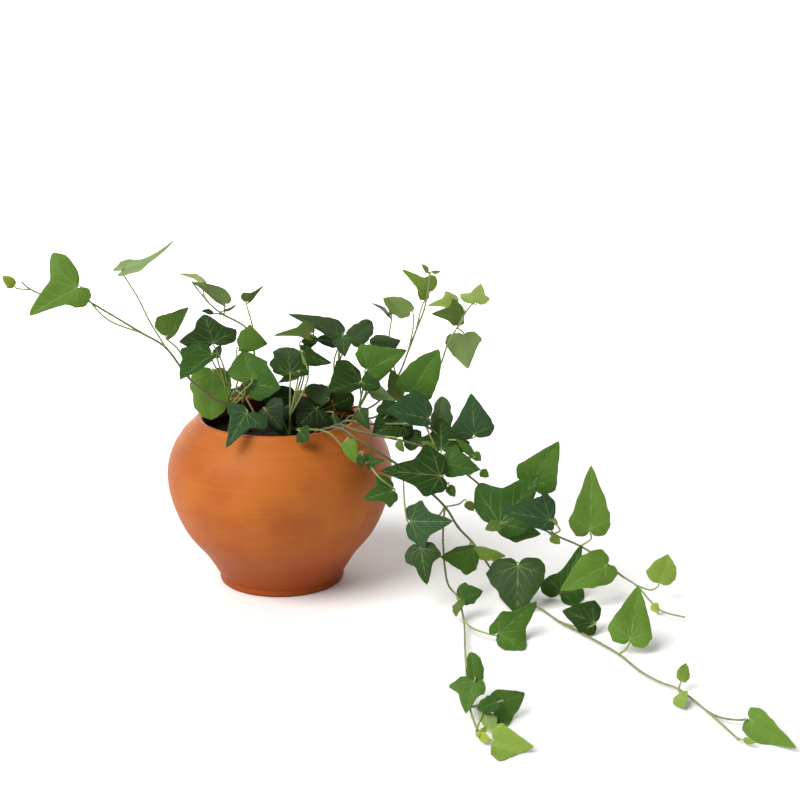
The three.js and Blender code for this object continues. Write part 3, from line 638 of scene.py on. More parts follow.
# %% Eight blade plans
FORMS = {
    "star": [
        (0, 0), (0.1, -0.09), (0.34, -0.14), (0.66, -0.08), (0.88, 0.1), (1, 0.29), (0.74, 0.38),
        (0.48, 0.48), (0.34, 0.68), (0.14, 0.9), (0, 1),
    ],
    "fork": [
        (0, 0), (0.1, -0.11), (0.32, -0.18), (0.76, -0.15), (1, 0.04), (0.84, 0.2), (0.48, 0.33),
        (0.3, 0.6), (0.12, 0.9), (0, 1),
    ],
    "arrow": [
        (0, 0), (0.08, -0.08), (0.26, -0.12), (0.7, -0.1), (1, 0.11), (0.84, 0.3), (0.5, 0.61),
        (0.15, 0.91), (0, 1),
    ],
    "spear": [
        (0, 0), (0.14, -0.05), (0.42, -0.06), (0.82, -0.02), (1, 0.14), (0.9, 0.46), (0.52, 0.76),
        (0.16, 0.95), (0, 1),
    ],
    "heart": [
        (0, 0), (0.08, -0.11), (0.28, -0.17), (0.74, -0.14), (1, 0.1), (0.9, 0.34), (0.56, 0.62),
        (0.16, 0.92), (0, 1),
    ],
    "kite": [
        (0, 0), (0.16, -0.06), (0.46, -0.09), (0.86, 0.1), (0.91, 0.28), (1, 0.46), (0.74, 0.6),
        (0.46, 0.78), (0.16, 0.94), (0, 1),
    ],
    "blunt": [
        (0, 0), (0.12, -0.08), (0.42, -0.1), (0.9, 0.02), (0.93, 0.2), (1, 0.38), (0.82, 0.54),
        (0.78, 0.72), (0.38, 0.93), (0, 1),
    ],
    "young": [
        (0, 0), (0.3, -0.03), (0.66, 0.03), (1, 0.28), (0.7, 0.66), (0.2, 0.93), (0, 1),
    ],
}
PLAN_ROWS = 30
PLAN_COLUMNS = 4
EDGE_SLACK = 0.24
SPINE_BIAS = 1.4             # crowds the midrib's points towards the stalk


def blade_plan(half_outline):
    """The closed two-sheet mesh of a flat blade: x across, y along, z the sheet's side."""
    edge = evenly(smooth_through([Vector(point) for point in half_outline], 8, EDGE_SLACK), PLAN_ROWS)
    points = [(0.0, 0.0, 0.0), (0.0, 1.0, 0.0)]
    faces = []
    spine = {}
    for sheet in (1, -1):
        for row in range(1, PLAN_ROWS):
            spine[sheet, row] = len(points)
            points.append((0.0, (row / PLAN_ROWS) ** SPINE_BIAS, float(sheet)))
    for half in (1, -1):
        rim = {}
        for row in range(1, PLAN_ROWS):
            rim[row] = len(points)
            points.append((half * edge[row].x, edge[row].y, 0.0))
        for sheet in (1, -1):
            grid = {}
            for row in range(1, PLAN_ROWS):
                middle = Vector((0.0, (row / PLAN_ROWS) ** SPINE_BIAS))
                grid[row, 0] = spine[sheet, row]
                grid[row, PLAN_COLUMNS] = rim[row]
                for column in range(1, PLAN_COLUMNS):
                    spot = middle.lerp(edge[row], column / PLAN_COLUMNS)
                    grid[row, column] = len(points)
                    points.append((half * spot.x, spot.y, float(sheet)))
            for column in range(PLAN_COLUMNS):
                patches = [(0, grid[1, column + 1], grid[1, column])]
                for row in range(1, PLAN_ROWS - 1):
                    patches.append((
                        grid[row, column], grid[row, column + 1], grid[row + 1, column + 1],
                        grid[row + 1, column]))
                end = PLAN_ROWS - 1
                patches.append((grid[end, column], grid[end, column + 1], 1))
                for patch in patches:
                    faces.append(patch if half * sheet > 0 else patch[::-1])
    return points, faces


plans = bpy.data.collections.new("blade plans")
bpy.context.scene.collection.children.link(plans)
for number, (form, half_outline) in enumerate(FORMS.items()):
    points, faces = blade_plan(half_outline)
    mesh = bpy.data.meshes.new(f"plan_{number}_{form}")
    mesh.from_pydata(points, [], faces)
    attribute = mesh.attributes.new("plan", "FLOAT_VECTOR", "POINT")
    attribute.data.foreach_set("vector", [value for point in points for value in point])
    crease = mesh.attributes.new("sharp_edge", "BOOLEAN", "EDGE")
    on_rim = [abs(points[a][2]) < 0.5 and abs(points[b][2]) < 0.5 for a, b in mesh.edge_keys]
    crease.data.foreach_set("value", on_rim)
    plans.objects.link(bpy.data.objects.new(f"plan_{number}_{form}", mesh))
    print(form, "plan:", len(faces), "faces")

# %% [markdown]
# ## Where each leaf grows
#
# The stems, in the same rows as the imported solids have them. A root is where the stem
# stands in the mix, in mm. A route is a list of picture columns, rows and depths. A leaf
# says its form, its tone of green, the place on the route that its stalk leaves, where the
# blade meets the stalk, where its tip is, its turn about the midrib in degrees, its half
# widths to the left and right against its length, and what its stalk passes through.

# %% The stems
STEMS = {
    "left_trailing_stem": {
        "root": (-42, -22), "radius": 1.2,
        "route": [
            (231, 408, -25), (210, 397, -28), (188, 377, -26), (166, 348, -26), (140, 332, -28),
            (110, 314, -30), (80, 298, -32), (50, 297, -34), (30, 289, -35), (22, 282, -36)
        ],
        "leaves": [
            ("young", "yellow", 8, (14, 286, -36), (2, 276, -38), 20, 0.42, 0.42),
            ("fork", "bright", 4, (77, 288, -36), (29, 316, -44),
             12, 0.36, 0.82, [(110, 321, -30), (92, 304, -33)]),
            ("fork", "olive", 3, (125, 269, -40), (175, 239, -30),
             106, 0.5, 0.5, [(150, 322, -30), (138, 298, -36)]),
            ("arrow", "bright", 2, (168, 335, -34), (189, 307, -22), 25, 0.62, 0.15, [(180, 352, -20)]),
        ],
    },
    "left_upright_stem": {
        "root": (-26, 12), "radius": 1,
        "route": [
            (243, 402, 14), (254, 372, 18), (253, 345, 20), (246, 328, 20), (234, 320, 20),
            (222, 314, 20), (207, 301, 20), (192, 282, 20)
        ],
        "leaves": [
            ("fork", "pale", 6, (203, 282, 18), (178, 274, 10), 66, 0.42, 0.62, [(203, 293, 18)]),
            ("heart", "olive", 5, (222, 302, 17), (192, 282, 8), 158, 0.1, 0.32),
            ("fork", "olive", 1, (249, 301, 12), (264, 285, 14), 30, 0.56, 0.1, [(254, 335, 14)]),
            ("young", "grey", 4, (224, 311, 16), (237, 304, 12), 55, 0.18, 0.18),
            ("young", "dark", 5, (213, 313, 15), (201, 311, 12), 40, 0.3, 0.3),
        ],
    },
    "left_short_stem": {
        "root": (-34, -14), "radius": 1.1,
        "route": [(231, 416, -16), (230, 404, -16)],
        "leaves": [
            ("star", "dark", 1, (213, 343, -12), (204, 314, 14), 10, 0.8, 0.68, [(224, 368, -14)]),
            ("kite", "mid", 1, (212, 355, -26), (180, 380, -42), 15, 0.14, 0.56, [(222, 375, -18)]),
            ("blunt", "bright", 1, (213, 372, -8), (211, 420, -22), 10, 0.42, 0.48, [(223, 388, -10)]),
            ("kite", "bright", 1, (240, 349, -8), (268, 344, -2), 20, 0.78, 0.14, [(238, 378, -12)]),
            ("kite", "fresh", 1, (251, 379, -24), (243, 351, -8), 10, 0.64, 0.66, [(240, 394, -20)]),
            ("kite", "mid", 1, (248, 383, -18), (281, 388, -32), 10, 0.72, 0.42, [(244, 396, -18)]),
            ("fork", "blue", 0, (246, 414, -50), (226, 448, -80), 8, 0.5, 0.42, [(240, 406, -34)]),
            ("young", "grey", 1, (214, 357, -16), (221, 345, -10), 30, 0.4, 0.4, [(222, 380, -14)]),
        ],
    },
    "centre_left_stem": {
        "root": (6, -26), "radius": 0.9,
        "route": [(290, 436, -26), (290, 414, -26)],
        "leaves": [
            ("blunt", "dark", 1, (290, 374, -22), (287, 347, 4), 12, 0.5, 0.56, [(290, 394, -24)]),
            ("fork", "olive", 1, (310, 334, -15), (273, 336, -27), 30, 0.2, 0.36, [(303, 372, -14)]),
            ("heart", "dark", 1, (304, 352, -14), (332, 363, -26), 35, 0.3, 0.4, [(308, 378, -18)]),
            ("young", "dark", 1, (303, 343, -14), (319, 338, -18), 30, 0.36, 0.42, [(304, 376, -14)]),
            ("arrow", "deep", 0, (286, 408, -22), (262, 413, -28), 18, 0.5, 0.5),
            ("arrow", "olive", 1, (296, 374, -20), (278, 383, -17), 20, 0.3, 0.3),
            ("heart", "deep", 0, (266, 410, -36), (283, 430, -46), 20, 0.72, 0.55, [(280, 416, -32)]),
        ],
    },
    "centre_back_stem": {
        "root": (40, 20), "radius": 1,
        "route": [(334, 412, 20), (336, 390, 20), (338, 365, 18)],
        "leaves": [
            ("arrow", "grey", 2, (338, 335, 12), (287, 314, -6), 15, 0.11, 0.24, [(339, 350, 16)]),
            ("blunt", "grey", 2, (352, 340, 16), (372, 321, 24), 20, 0.42, 0.45, [(343, 352, 17)]),
            ("arrow", "dark", 2, (343, 337, 8), (345, 357, 0), 15, 0.55, 0.6),
            ("young", "deep", 1, (337, 342, 20), (315, 340, 12), 30, 0.35, 0.35, [(334, 362, 20)]),
        ],
    },
    "centre_right_stem": {
        "root": (52, -6), "radius": 1,
        "route": [(351, 424, -8), (357, 412, -10)],
        "leaves": [
            ("kite", "dark", 1, (361, 382, -16), (328, 392, -30), 10, 0.2, 0.72, [(361, 398, -12)]),
            ("blunt", "dark", 1, (363, 383, -20), (381, 386, -26), 12, 0.5, 0.4, [(361, 398, -14)]),
            ("arrow", "fresh", 1, (368, 369, -4), (407, 350, -12), 10, 0.6, 0.36, [(366, 392, -8)]),
            ("young", "grey", 1, (372, 345, 4), (401, 340, -4), 40, 0.45, 0.45, [(370, 380, -2)]),
            ("heart", "grey", 1, (374, 390, -12), (396, 401, -18), 150, 0.34, 0.34),
            ("arrow", "dark", 0, (360, 412, -35), (370, 430, -43), 14, 0.42, 0.42),
        ],
    },
    "right_upright_stem": {
        "root": (46, 10), "radius": 1, "over": 10,
        "route": [
            (366, 409, 12), (380, 400, 14), (398, 376, 14), (409, 349, 14), (417, 328, 15),
            (424, 310, 16), (428, 290, 16), (430, 273, 16)
        ],
        "leaves": [
            ("arrow", "grey", 2, (389, 315, 10), (371, 303, 2), 70, 0.4, 0.3, [(389, 345, 12)]),
            ("kite", "light", 3, (410, 311, 12), (383, 298, 4), 160, 0.4, 0.28, [(413, 328, 13)]),
            ("fork", "light", 4, (427, 291, 20), (401, 269, 12), 15, 0.3, 0.46, [(422, 306, 18)]),
            ("young", "light", 7, (428, 272, 15), (421, 264, 13), 40, 0.35, 0.35),
            ("young", "light", 7, (432, 272, 15), (441, 271, 12), 50, 0.35, 0.35),
        ],
    },
    "right_outer_stem": {
        "root": (52, -18), "radius": 1, "over": -13,
        "route": [
            (372, 418, -14), (398, 404, -10), (424, 386, -6), (440, 365, -4), (447, 346, -4),
            (458, 326, -4), (468, 309, -4), (475, 302, -4)
        ],
        "leaves": [
            ("star", "pale", 6, (456, 304, 14), (427, 306, 8), 20, 0.2, 0.44, [(465, 311, 6)]),
            ("star", "olive", 5, (461, 318, 6), (431, 314, -2), 15, 0.3, 0.52),
            ("star", "pale", 7, (477, 302, -5), (481, 283, -8), 15, 0.95, 0.62),
            ("arrow", "olive", 5, (464, 336, 2), (468, 369, -6), 170, 0.5, 0.64),
            ("spear", "fresh", 2, (411, 392, -14), (439, 349, -22), 8, 0.37, 0.37),
            ("young", "olive", 1, (397, 400, 6), (391, 369, 8), 30, 0.35, 0.35),
        ],
    },
    "right_bushy_stem": {
        "root": (50, -30), "radius": 1.1, "over": -29,
        "route": [(360, 424, -32), (380, 424, -34), (404, 424, -34), (428, 427, -34), (442, 440, -34)],
        "leaves": [
            ("kite", "blue", 2, (428, 419, -38), (386, 411, -50), 12, 0.22, 0.54),
            ("blunt", "dark", 1, (392, 408, -30), (376, 411, -34), 12, 0.42, 0.42),
            ("heart", "dark", 1, (402, 419, -28), (372, 436, -40), 10, 0.5, 0.68),
            ("blunt", "dark", 2, (412, 431, -30), (411, 451, -36), 10, 0.55, 0.45),
            ("blunt", "grey", 3, (438, 429, -24), (442, 396, -20), 12, 0.28, 0.42),
            ("arrow", "blue", 4, (474, 434, -42), (471, 393, -46), 10, 0.56, 0.5, [(456, 440, -38)]),
            ("star", "dark", 4, (441, 449, -40), (440, 418, -24), 10, 0.7, 0.95),
            ("young", "light", 3, (434, 449, -42), (421, 442, -46), 20, 0.3, 0.3),
        ],
    },
    "upper_right_trailer": {
        "root": (48, -40), "radius": 1.1, "over": -41,
        "route": [
            (346, 427, -46), (362, 432, -54), (385, 437, -56), (415, 444, -56), (442, 455, -56),
            (470, 477, -54), (500, 500, -54), (530, 522, -54), (555, 535, -56), (582, 547, -60),
            (605, 562, -68), (622, 576, -76), (637, 586, -86), (652, 603, -104), (664, 612, -116),
            (684, 617, -126)
        ],
        "leaves": [
            ("arrow", "mid", 4, (447, 464, -64), (480, 470, -66), 12, 0.62, 0.42),
            ("young", "fresh", 4, (472, 455, -60), (456, 439, -60), 35, 0.24, 0.24),
            ("young", "fresh", 5, (474, 453, -57), (481, 461, -60), 10, 0.5, 0.5),
            ("young", "fresh", 5, (481, 471, -58), (489, 477, -60), 10, 0.5, 0.5),
            ("young", "olive", 2, (398, 441, -60), (404, 452, -64), 20, 0.36, 0.42),
            ("star", "mid", 6, (500, 523, -66), (540, 474, -60), 10, 0.68, 0.42),
            ("arrow", "fresh", 7, (531, 481, -46), (559, 441, -42), 10, 0.42, 0.52),
            ("arrow", "blue", 8, (549, 520, -74), (499, 511, -86), 10, 0.22, 0.45, [(560, 530, -66)]),
            ("kite", "mid", 7, (501, 523, -60), (541, 534, -64), 12, 0.25, 0.36),
            ("young", "light", 8, (549, 519, -62), (558, 524, -64), 20, 0.5, 0.5),
            ("young", "light", 8, (552, 536, -60), (560, 544, -62), 20, 0.5, 0.5),
            ("young", "olive", 7, (500, 524, -72), (485, 530, -78), 20, 0.4, 0.4),
            ("arrow", "bright", 9, (590, 529, -62), (591, 465, -58), 8, 0.34, 0.34, [(591, 539, -62)]),
            ("fork", "mid", 9, (561, 592, -66), (582, 544, -60), 10, 0.43, 0.43, [(572, 572, -60)]),
            ("heart", "bright", 10, (605, 566, -80), (560, 591, -94), 10, 0.33, 0.38),
            ("young", "light", 12, (659, 583, -84), (668, 554, -80), 15, 0.54, 0.52, [(650, 590, -86)]),
            ("young", "yellow", 13, (653, 604, -106), (659, 613, -110), 15, 0.5, 0.5),
        ],
    },
    "lower_right_trailer": {
        "root": (36, -42), "radius": 1.2, "over": -53,
        "route": [
            (332, 427, -51), (344, 430, -58), (358, 440, -66), (378, 452, -68), (405, 470, -66),
            (428, 490, -62), (446, 508, -58), (458, 527, -56), (472, 542, -54), (483, 557, -50),
            (500, 581, -50), (520, 598, -74), (541, 609, -96), (560, 622, -123), (578, 631, -141),
            (600, 643, -164), (620, 655, -187), (640, 671, -216), (660, 682, -234),
            (680, 690, -249), (708, 712, -284), (738, 739, -325)
        ],
        "leaves": [
            ("star", "dark", 5, (440, 476, -74), (380, 471, -84), 10, 0.36, 0.46),
            ("young", "mid", 5, (449, 486, -70), (455, 497, -74), 20, 0.45, 0.45),
            ("star", "blue", 4, (411, 521, -80), (453, 521, -90), 12, 0.49, 0.62, [(404, 496, -76)]),
            ("star", "dark", 6, (421, 548, -84), (427, 585, -96), 10, 0.52, 0.5, [(432, 527, -74)]),
            ("kite", "fresh", 8, (473, 549, -58), (440, 557, -72), 10, 0.6, 0.15),
            ("young", "light", 8, (474, 551, -56), (506, 556, -56), 30, 0.25, 0.25),
            ("young", "olive", 6, (467, 502, -61), (474, 511, -62), 20, 0.45, 0.45, [(459, 504, -60)]),
            ("heart", "dark", 9, (518, 566, -76), (518, 617, -98), 8, 0.56, 0.58, [(498, 562, -62)]),
            ("heart", "dark", 13, (593, 622, -140), (562, 611, -138),
             12, 0.48, 0.62, [(582, 628, -142)]),
            ("arrow", "bright", 16, (630, 639, -178), (638, 586, -150),
             8, 0.42, 0.37, [(626, 649, -185)]),
            ("young", "light", 19, (681, 681, -246), (686, 663, -236), 20, 0.36, 0.36),
            ("young", "light", 19, (680, 694, -258), (684, 708, -276), 20, 0.36, 0.36),
            ("young", "light", 21, (744, 740, -327), (757, 742, -334), 20, 0.25, 0.25),
        ],
        "branches": [
            {
                "start": 6, "radius": 0.8,
                "route": [
                    (443, 540, -66), (447, 581, -74), (458, 598, -96), (464, 622, -122),
                    (465, 650, -172), (467, 680, -226), (470, 708, -270), (477, 730, -303)
                ],
                "leaves": [
                    ("kite", "mid", 2, (461, 599, -100), (483, 591, -104), 15, 0.62, 0.36),
                    ("young", "olive", 2, (461, 601, -100), (456, 617, -116), 40, 0.3, 0.3),
                    ("star", "fresh", 3, (498, 633, -150), (537, 601, -132),
                     10, 0.28, 0.52, [(474, 629, -142)]),
                    ("blunt", "fresh", 4, (474, 680, -262), (471, 652, -250),
                     12, 0.27, 0.4, [(470, 690, -258)]),
                    ("star", "fresh", 5, (474, 682, -266), (466, 714, -280), 12, 0.44, 0.7),
                    ("arrow", "fresh", 6, (495, 704, -281), (525, 693, -268), 12, 0.37, 0.68),
                    ("blunt", "mid", 6, (498, 702, -286), (477, 709, -288), 12, 0.38, 0.4),
                    ("young", "pale", 7, (486, 712, -286), (494, 732, -304), 150, 0.34, 0.34),
                    ("young", "yellow", 7, (480, 735, -312), (491, 741, -318), 20, 0.4, 0.4),
                    ("young", "yellow", 7, (480, 734, -312), (487, 726, -308), 20, 0.32, 0.32),
                    ("arrow", "light", 7, (496, 741, -318), (534, 747, -328),
                     10, 0.48, 0.48, [(486, 738, -313)]),
                ],
            },
            {
                "start": 20, "radius": 0.8,
                "route": [(716, 716, -290), (728, 719, -297), (742, 720, -300)],
                "leaves": [
                    ("heart", "bright", 2, (752, 721, -303), (797, 748, -342), 10, 0.24, 0.24),
                ],
            },
        ],
    },
    "rim_shoot": {
        "root": (24, -44), "radius": 0.9, "over": -60,
        "route": [(321, 430, -60), (332, 435, -66), (344, 448, -72), (356, 458, -74), (370, 464, -72)],
        "leaves": [
            ("spear", "bright", 2, (349, 441, -73), (356, 463, -76), 20, 0.3, 0.38),
            ("young", "dark", 3, (362, 455, -78), (361, 468, -80), 20, 0.42, 0.42),
            ("fork", "mid", 4, (369, 462, -76), (385, 460, -78), 15, 0.6, 0.5),
            ("star", "mid", 4, (392, 491, -80), (363, 500, -90), 10, 0.45, 0.63, [(380, 478, -86)]),
            ("young", "dark", 0, (300, 431, -70), (309, 441, -80), 20, 0.6, 0.6),
        ],
    },
    "inner_stem": {
        "root": (24, 0), "radius": 1,
        "route": [(310, 424, 0), (312, 412, 0)],
        "leaves": [
            ("blunt", "deep", 1, (293, 398, -6), (262, 398, -14), 15, 0.36, 0.4),
            ("blunt", "grey", 1, (326, 398, -4), (305, 388, 2), 20, 0.42, 0.5),
            ("blunt", "dark", 1, (336, 404, 4), (354, 396, 8), 20, 0.6, 0.6),
            ("heart", "deep", 1, (316, 409, -14), (297, 427, -30), 10, 0.74, 0.7),
            ("kite", "dark", 1, (333, 415, -12), (342, 434, -21), 10, 0.2, 0.75),
            ("blunt", "deep", 1, (304, 412, -6), (280, 398, -2), 15, 0.5, 0.5),
            ("star", "deep", 1, (306, 420, -10), (280, 424, -15), 12, 0.5, 0.55),
            ("heart", "dark", 1, (316, 404, 2), (334, 392, 8), 18, 0.6, 0.6),
            ("arrow", "deep", 0, (293, 428, -18), (262, 423, -22), 14, 0.42, 0.42),
        ],
    },
}

# %% Tones of green
TONES = {
    "deep": (0.009, 0.025, 0.005),
    "dark": (0.020, 0.054, 0.007),
    "blue": (0.030, 0.080, 0.026),
    "mid": (0.034, 0.097, 0.012),
    "fresh": (0.064, 0.150, 0.016),
    "bright": (0.102, 0.200, 0.022),
    "light": (0.205, 0.318, 0.042),
    "pale": (0.310, 0.430, 0.100),
    "olive": (0.092, 0.150, 0.026),
    "grey": (0.068, 0.118, 0.044),
    "yellow": (0.330, 0.400, 0.045),
}
BARK_OLD = (0.085, 0.065, 0.035)
BARK_YOUNG = (0.200, 0.250, 0.075)
STALK_GREEN = (0.260, 0.330, 0.090)
print(len(TONES), "tones of green")

# %% [markdown]
# ## From rows to a skeleton
#
# The graph needs one simple mesh for each stem. Lines of edges are the ways of the stem and
# of every stalk, with a girth and a colour at each point. A lone point is a leaf: it stands
# where the blade meets its stalk and carries the blade's three directions, its length, its
# half widths, its form and its tone. A point that would lie under the table is brought up
# along the line of sight, so that it lies on the table and looks the same from the front.

# %% A skeleton of lines and leaf points
FORM_NUMBERS = {form: number for number, form in enumerate(FORMS)}
BLADE_THICKNESS = 0.0006
STALK_RADIUS = 0.00075
STALK_TIP_RADIUS = 0.0006
STEM_TIP_RADIUS = 0.0007
NECK = 0.003
SINK = 0.0016
ROOT_DEPTH = 0.012
ROOT_GAP = 0.00035
LEAN_GAP = 0.0007
LIE_GAP = 0.0002             # between the table and a stem that lies on it
LEAD_INSIDE = 0.006          # how far before the rim a stem comes up inside the pot
LEAD_LOWER = 0.002           # and how far below it
PHASE_STEPS = (971, 613)     # two unlike numbers, so that each leaf waves in its own way
POINT_FACTS = {
    "form": "INT", "midrib": "FLOAT_VECTOR", "across": "FLOAT_VECTOR", "face": "FLOAT_VECTOR",
    "blade_length": "FLOAT", "left": "FLOAT", "right": "FLOAT", "phase": "FLOAT",
    "tone": "FLOAT_COLOR", "girth": "FLOAT", "joint": "FLOAT",
}
FIELDS = {"INT": "value", "FLOAT": "value", "FLOAT_VECTOR": "vector", "FLOAT_COLOR": "color"}


def above_ground(point, height):
    if point.z >= height:
        return point
    return point.lerp(EYE, (height - point.z) / (EYE.z - point.z))


def blend(first, second, share):
    return tuple(one + (other - one) * share for one, other in zip(first, second))


class Skeleton:
    """Points, edges and the facts of each point, from which a leafy stem is grown."""

    def __init__(self):
        self.points = []
        self.edges = []
        self.facts = []

    def add_point(self, point, **facts):
        plain = {"form": -1, "midrib": (0, 0, 0), "across": (0, 0, 0), "face": (0, 0, 0),
                 "blade_length": 0.0, "left": 0.0, "right": 0.0, "phase": 0.0,
                 "tone": (0, 0, 0), "girth": 0.0, "joint": 0.0}
        self.points.append(point)
        self.facts.append({**plain, **facts})

    def add_way(self, points, girths, tones, joints):
        for index, point in enumerate(points):
            share = index / (len(points) - 1)
            self.add_point(
                point, girth=girths[0] + (girths[1] - girths[0]) * share,
                tone=blend(tones[0], tones[1], share), joint=float(index in joints))
            if index:
                self.edges.append((len(self.points) - 2, len(self.points) - 1))

    def mesh(self, name):
        mesh = bpy.data.meshes.new(name)
        mesh.from_pydata(self.points, self.edges, [])
        for fact, kind in POINT_FACTS.items():
            values = []
            for facts in self.facts:
                value = facts[fact]
                if kind == "FLOAT_COLOR":
                    value = (*value, 1.0)
                values.extend(value if isinstance(value, (tuple, Vector)) else [value])
            mesh.attributes.new(fact, kind, "POINT").data.foreach_set(FIELDS[kind], values)
        return mesh


def add_leaf(skeleton, start, form, tone, base, tip, turn, halves, via, facing):
    """A leaf point and the way of its stalk from the blade to the stem."""
    midrib = (tip - base).normalized()
    face = (facing - midrib * facing.dot(midrib)).normalized()
    face.rotate(Matrix.Rotation(math.radians(turn), 3, midrib))
    skeleton.add_point(
        base, form=FORM_NUMBERS[form], midrib=midrib, across=midrib.cross(face), face=face,
        blade_length=(tip - base).length, left=halves[0], right=halves[1],
        phase=(base.x * PHASE_STEPS[0] + base.z * PHASE_STEPS[1]) % (2 * math.pi), tone=TONES[tone])
    way = [base, base - midrib * NECK, *reversed(via), start]
    way = [above_ground(point, STALK_RADIUS + LIE_GAP) for point in way]
    pale = blend(STALK_GREEN, TONES[tone], 0.25)
    skeleton.add_way(way, (STALK_TIP_RADIUS, STALK_RADIUS), (pale, STALK_GREEN), ())


def add_pictured_leaf(skeleton, way, leaf):
    """A leaf as its row describes it. From below, its halves change places."""
    form, tone, at, base, tip, turn, left, right = leaf[:8]
    via = [sight(spot) for spot in leaf[8]] if len(leaf) > 8 else []
    halves = (right, left) if math.cos(math.radians(turn)) < 0 else (left, right)
    foot = sight(base)
    add_leaf(skeleton, way.sunk(at), form, tone, foot, sight(tip), turn, halves, via, EYE - foot)


class Way:
    """The way of a stem: a lead out of the mix, then the route."""

    def __init__(self, lead, route, radius):
        self.first = len(lead)
        self.points = [above_ground(point, radius + LIE_GAP) for point in [*lead, *route]]

    def sunk(self, at):
        """A place a little back from a point of the route, inside the stem."""
        here = self.points[self.first + at]
        back = self.points[self.first + at - 1] - here
        return here + back.normalized() * SINK

    def joints(self):
        return range(self.first, len(self.points))


def level_ray(degrees):
    """The level direction at that angle from +X."""
    return Vector((math.cos(math.radians(degrees)), math.sin(math.radians(degrees)), 0.0))


def stem_lead(root, radius, over=None):
    """Where a stem stands and, if it leaves the pot, where it leans on the rim."""
    rises = (-ROOT_DEPTH + ROOT_GAP, -ROOT_DEPTH / 2, 0.003)
    lead = [Vector((root[0] * MM, root[1] * MM, SOIL_LEVEL + rise)) for rise in rises]
    if over is not None:
        before = level_ray(over) * (RIM_RADIUS - WALL - LEAD_INSIDE)
        on_rim = level_ray(over) * (RIM_RADIUS - WALL / 2)
        lead.append(before + Vector((0, 0, POT_HEIGHT - LEAD_LOWER)))
        lead.append(on_rim + Vector((0, 0, POT_HEIGHT + radius + LEAN_GAP)))
    return lead


def stem_skeleton(stem):
    skeleton = Skeleton()
    radius = stem["radius"] * MM
    lead = stem_lead(stem["root"], radius, stem.get("over"))
    way = Way(lead, [sight(spot) for spot in stem["route"]], radius)
    skeleton.add_way(way.points, (radius, STEM_TIP_RADIUS), (BARK_OLD, BARK_YOUNG), way.joints())
    for leaf in stem["leaves"]:
        add_pictured_leaf(skeleton, way, leaf)
    for branch in stem.get("branches", []):
        radius = branch["radius"] * MM
        side = Way([way.sunk(branch["start"])], [sight(spot) for spot in branch["route"]], radius)
        tones = (blend(BARK_OLD, BARK_YOUNG, 0.4), BARK_YOUNG)
        skeleton.add_way(side.points, (radius, STEM_TIP_RADIUS), tones, side.joints())
        for leaf in branch["leaves"]:
            add_pictured_leaf(skeleton, side, leaf)
    return skeleton


print("a skeleton has these facts at each point:", ", ".join(POINT_FACTS))

# %% [markdown]
# ## Blade and bark
#
# An ivy blade is leathery and a little glossy. Pale veins fan out from the stalk to the
# lobes, with finer ones between them, and lie in shallow furrows. The veins are short
# straight lines in the blade's own plan: for each, the shader works out how far a point is
# from it, and the nearest one wins. The underside is paler and duller, but not in the last
# few millimetres above the table, where a lobe is squeezed flat and both faces show. The
# green itself comes from the leaf point, so one material serves old and young leaves.

# %% The blade's material
VEINS = [
    ((0.0, 0.0), (0.0, 1.0), 0.0135),
    ((0.0, 0.0), (0.50, 0.19), 0.0115),
    ((0.0, 0.0), (0.30, 0.45), 0.0085),
    ((0.0, 0.0), (0.32, -0.07), 0.0080),
    ((0.0, 0.30), (0.19, 0.62), 0.0060),
    ((0.0, 0.50), (0.14, 0.77), 0.0055),
    ((0.0, 0.68), (0.08, 0.88), 0.0050),
    ((0.22, 0.084), (0.38, 0.34), 0.0055),
    ((0.28, 0.106), (0.44, 0.03), 0.0050),
]
TYPICAL_HALF = 0.55
VEIN_PALE = (0.36, 0.50, 0.18)
UNDERSIDE_PALE = (0.26, 0.37, 0.14)
SQUEEZED_HEIGHTS = (0.003, 0.008)    # between them the underside gains its own paleness

blade_finish, board, shader = new_material("ivy blade")
plan = board.add("ShaderNodeAttribute", {"attribute_name": "plan"}, {}, "Vector")
tone = board.add("ShaderNodeAttribute", {"attribute_name": "tone"}, {}, "Color")
place = board.add("ShaderNodeTexCoord", {}, {}, "Object")
plan_x, plan_y, sheet = plan.parts()
flat_x = plan_x.sum("ABSOLUTE", plan_x) * TYPICAL_HALF
sway = noise(board, place, 130.0) * 0.05 - 0.025
spot = board.vector(flat_x + sway, plan_y + sway)
nearest = None
for start, end, half_width in VEINS:
    reach = Vector((end[0] - start[0], end[1] - start[1], 0.0))
    offset = spot - (*start, 0.0)
    share = offset.dot(tuple(reach / reach.length_squared)).at_least(0.0).at_most(1.0)
    distance = (offset - share * tuple(reach)).length() / ((1.15 - share) * half_width)
    nearest = distance if nearest is None else nearest.at_most(distance)
vein = 1 - nearest.rise(0.35, 1.1)
halo = 1 - nearest.rise(0.5, 5.0)
net = board.add(
    "ShaderNodeTexVoronoi", {"feature": "DISTANCE_TO_EDGE"},
    {"Vector": spot, "Scale": 17.0}, "Distance")
fine_vein = 1 - net.rise(0.0, 0.10)
cloud = noise(board, place, 45.0, 3.0)
mottle = noise(board, place, 420.0, 2.0)
green = tone * (0.66 + cloud * 0.55 + mottle * 0.12)
green = board.mix(fine_vein * 0.10 + halo * 0.08, green, board.mix(0.35, tone, VEIN_PALE))
green = board.mix(vein * 0.6, green, board.mix(0.5, tone, VEIN_PALE))
below = (1 - sheet.rise(-0.4, 0.0)) * place.parts()[2].rise(*SQUEEZED_HEIGHTS)
green = board.mix(below * 0.5, green, UNDERSIDE_PALE)
board.plug(shader, "Base Color", green)
board.plug(shader, "Specular IOR Level", 0.15)
board.plug(shader, "Roughness", 0.40 + mottle * 0.12 + below * 0.2)
board.plug(shader, "Normal", bump(board, cloud * 0.5 - vein * 0.5 - fine_vein * 0.16, 0.6, 0.0013))
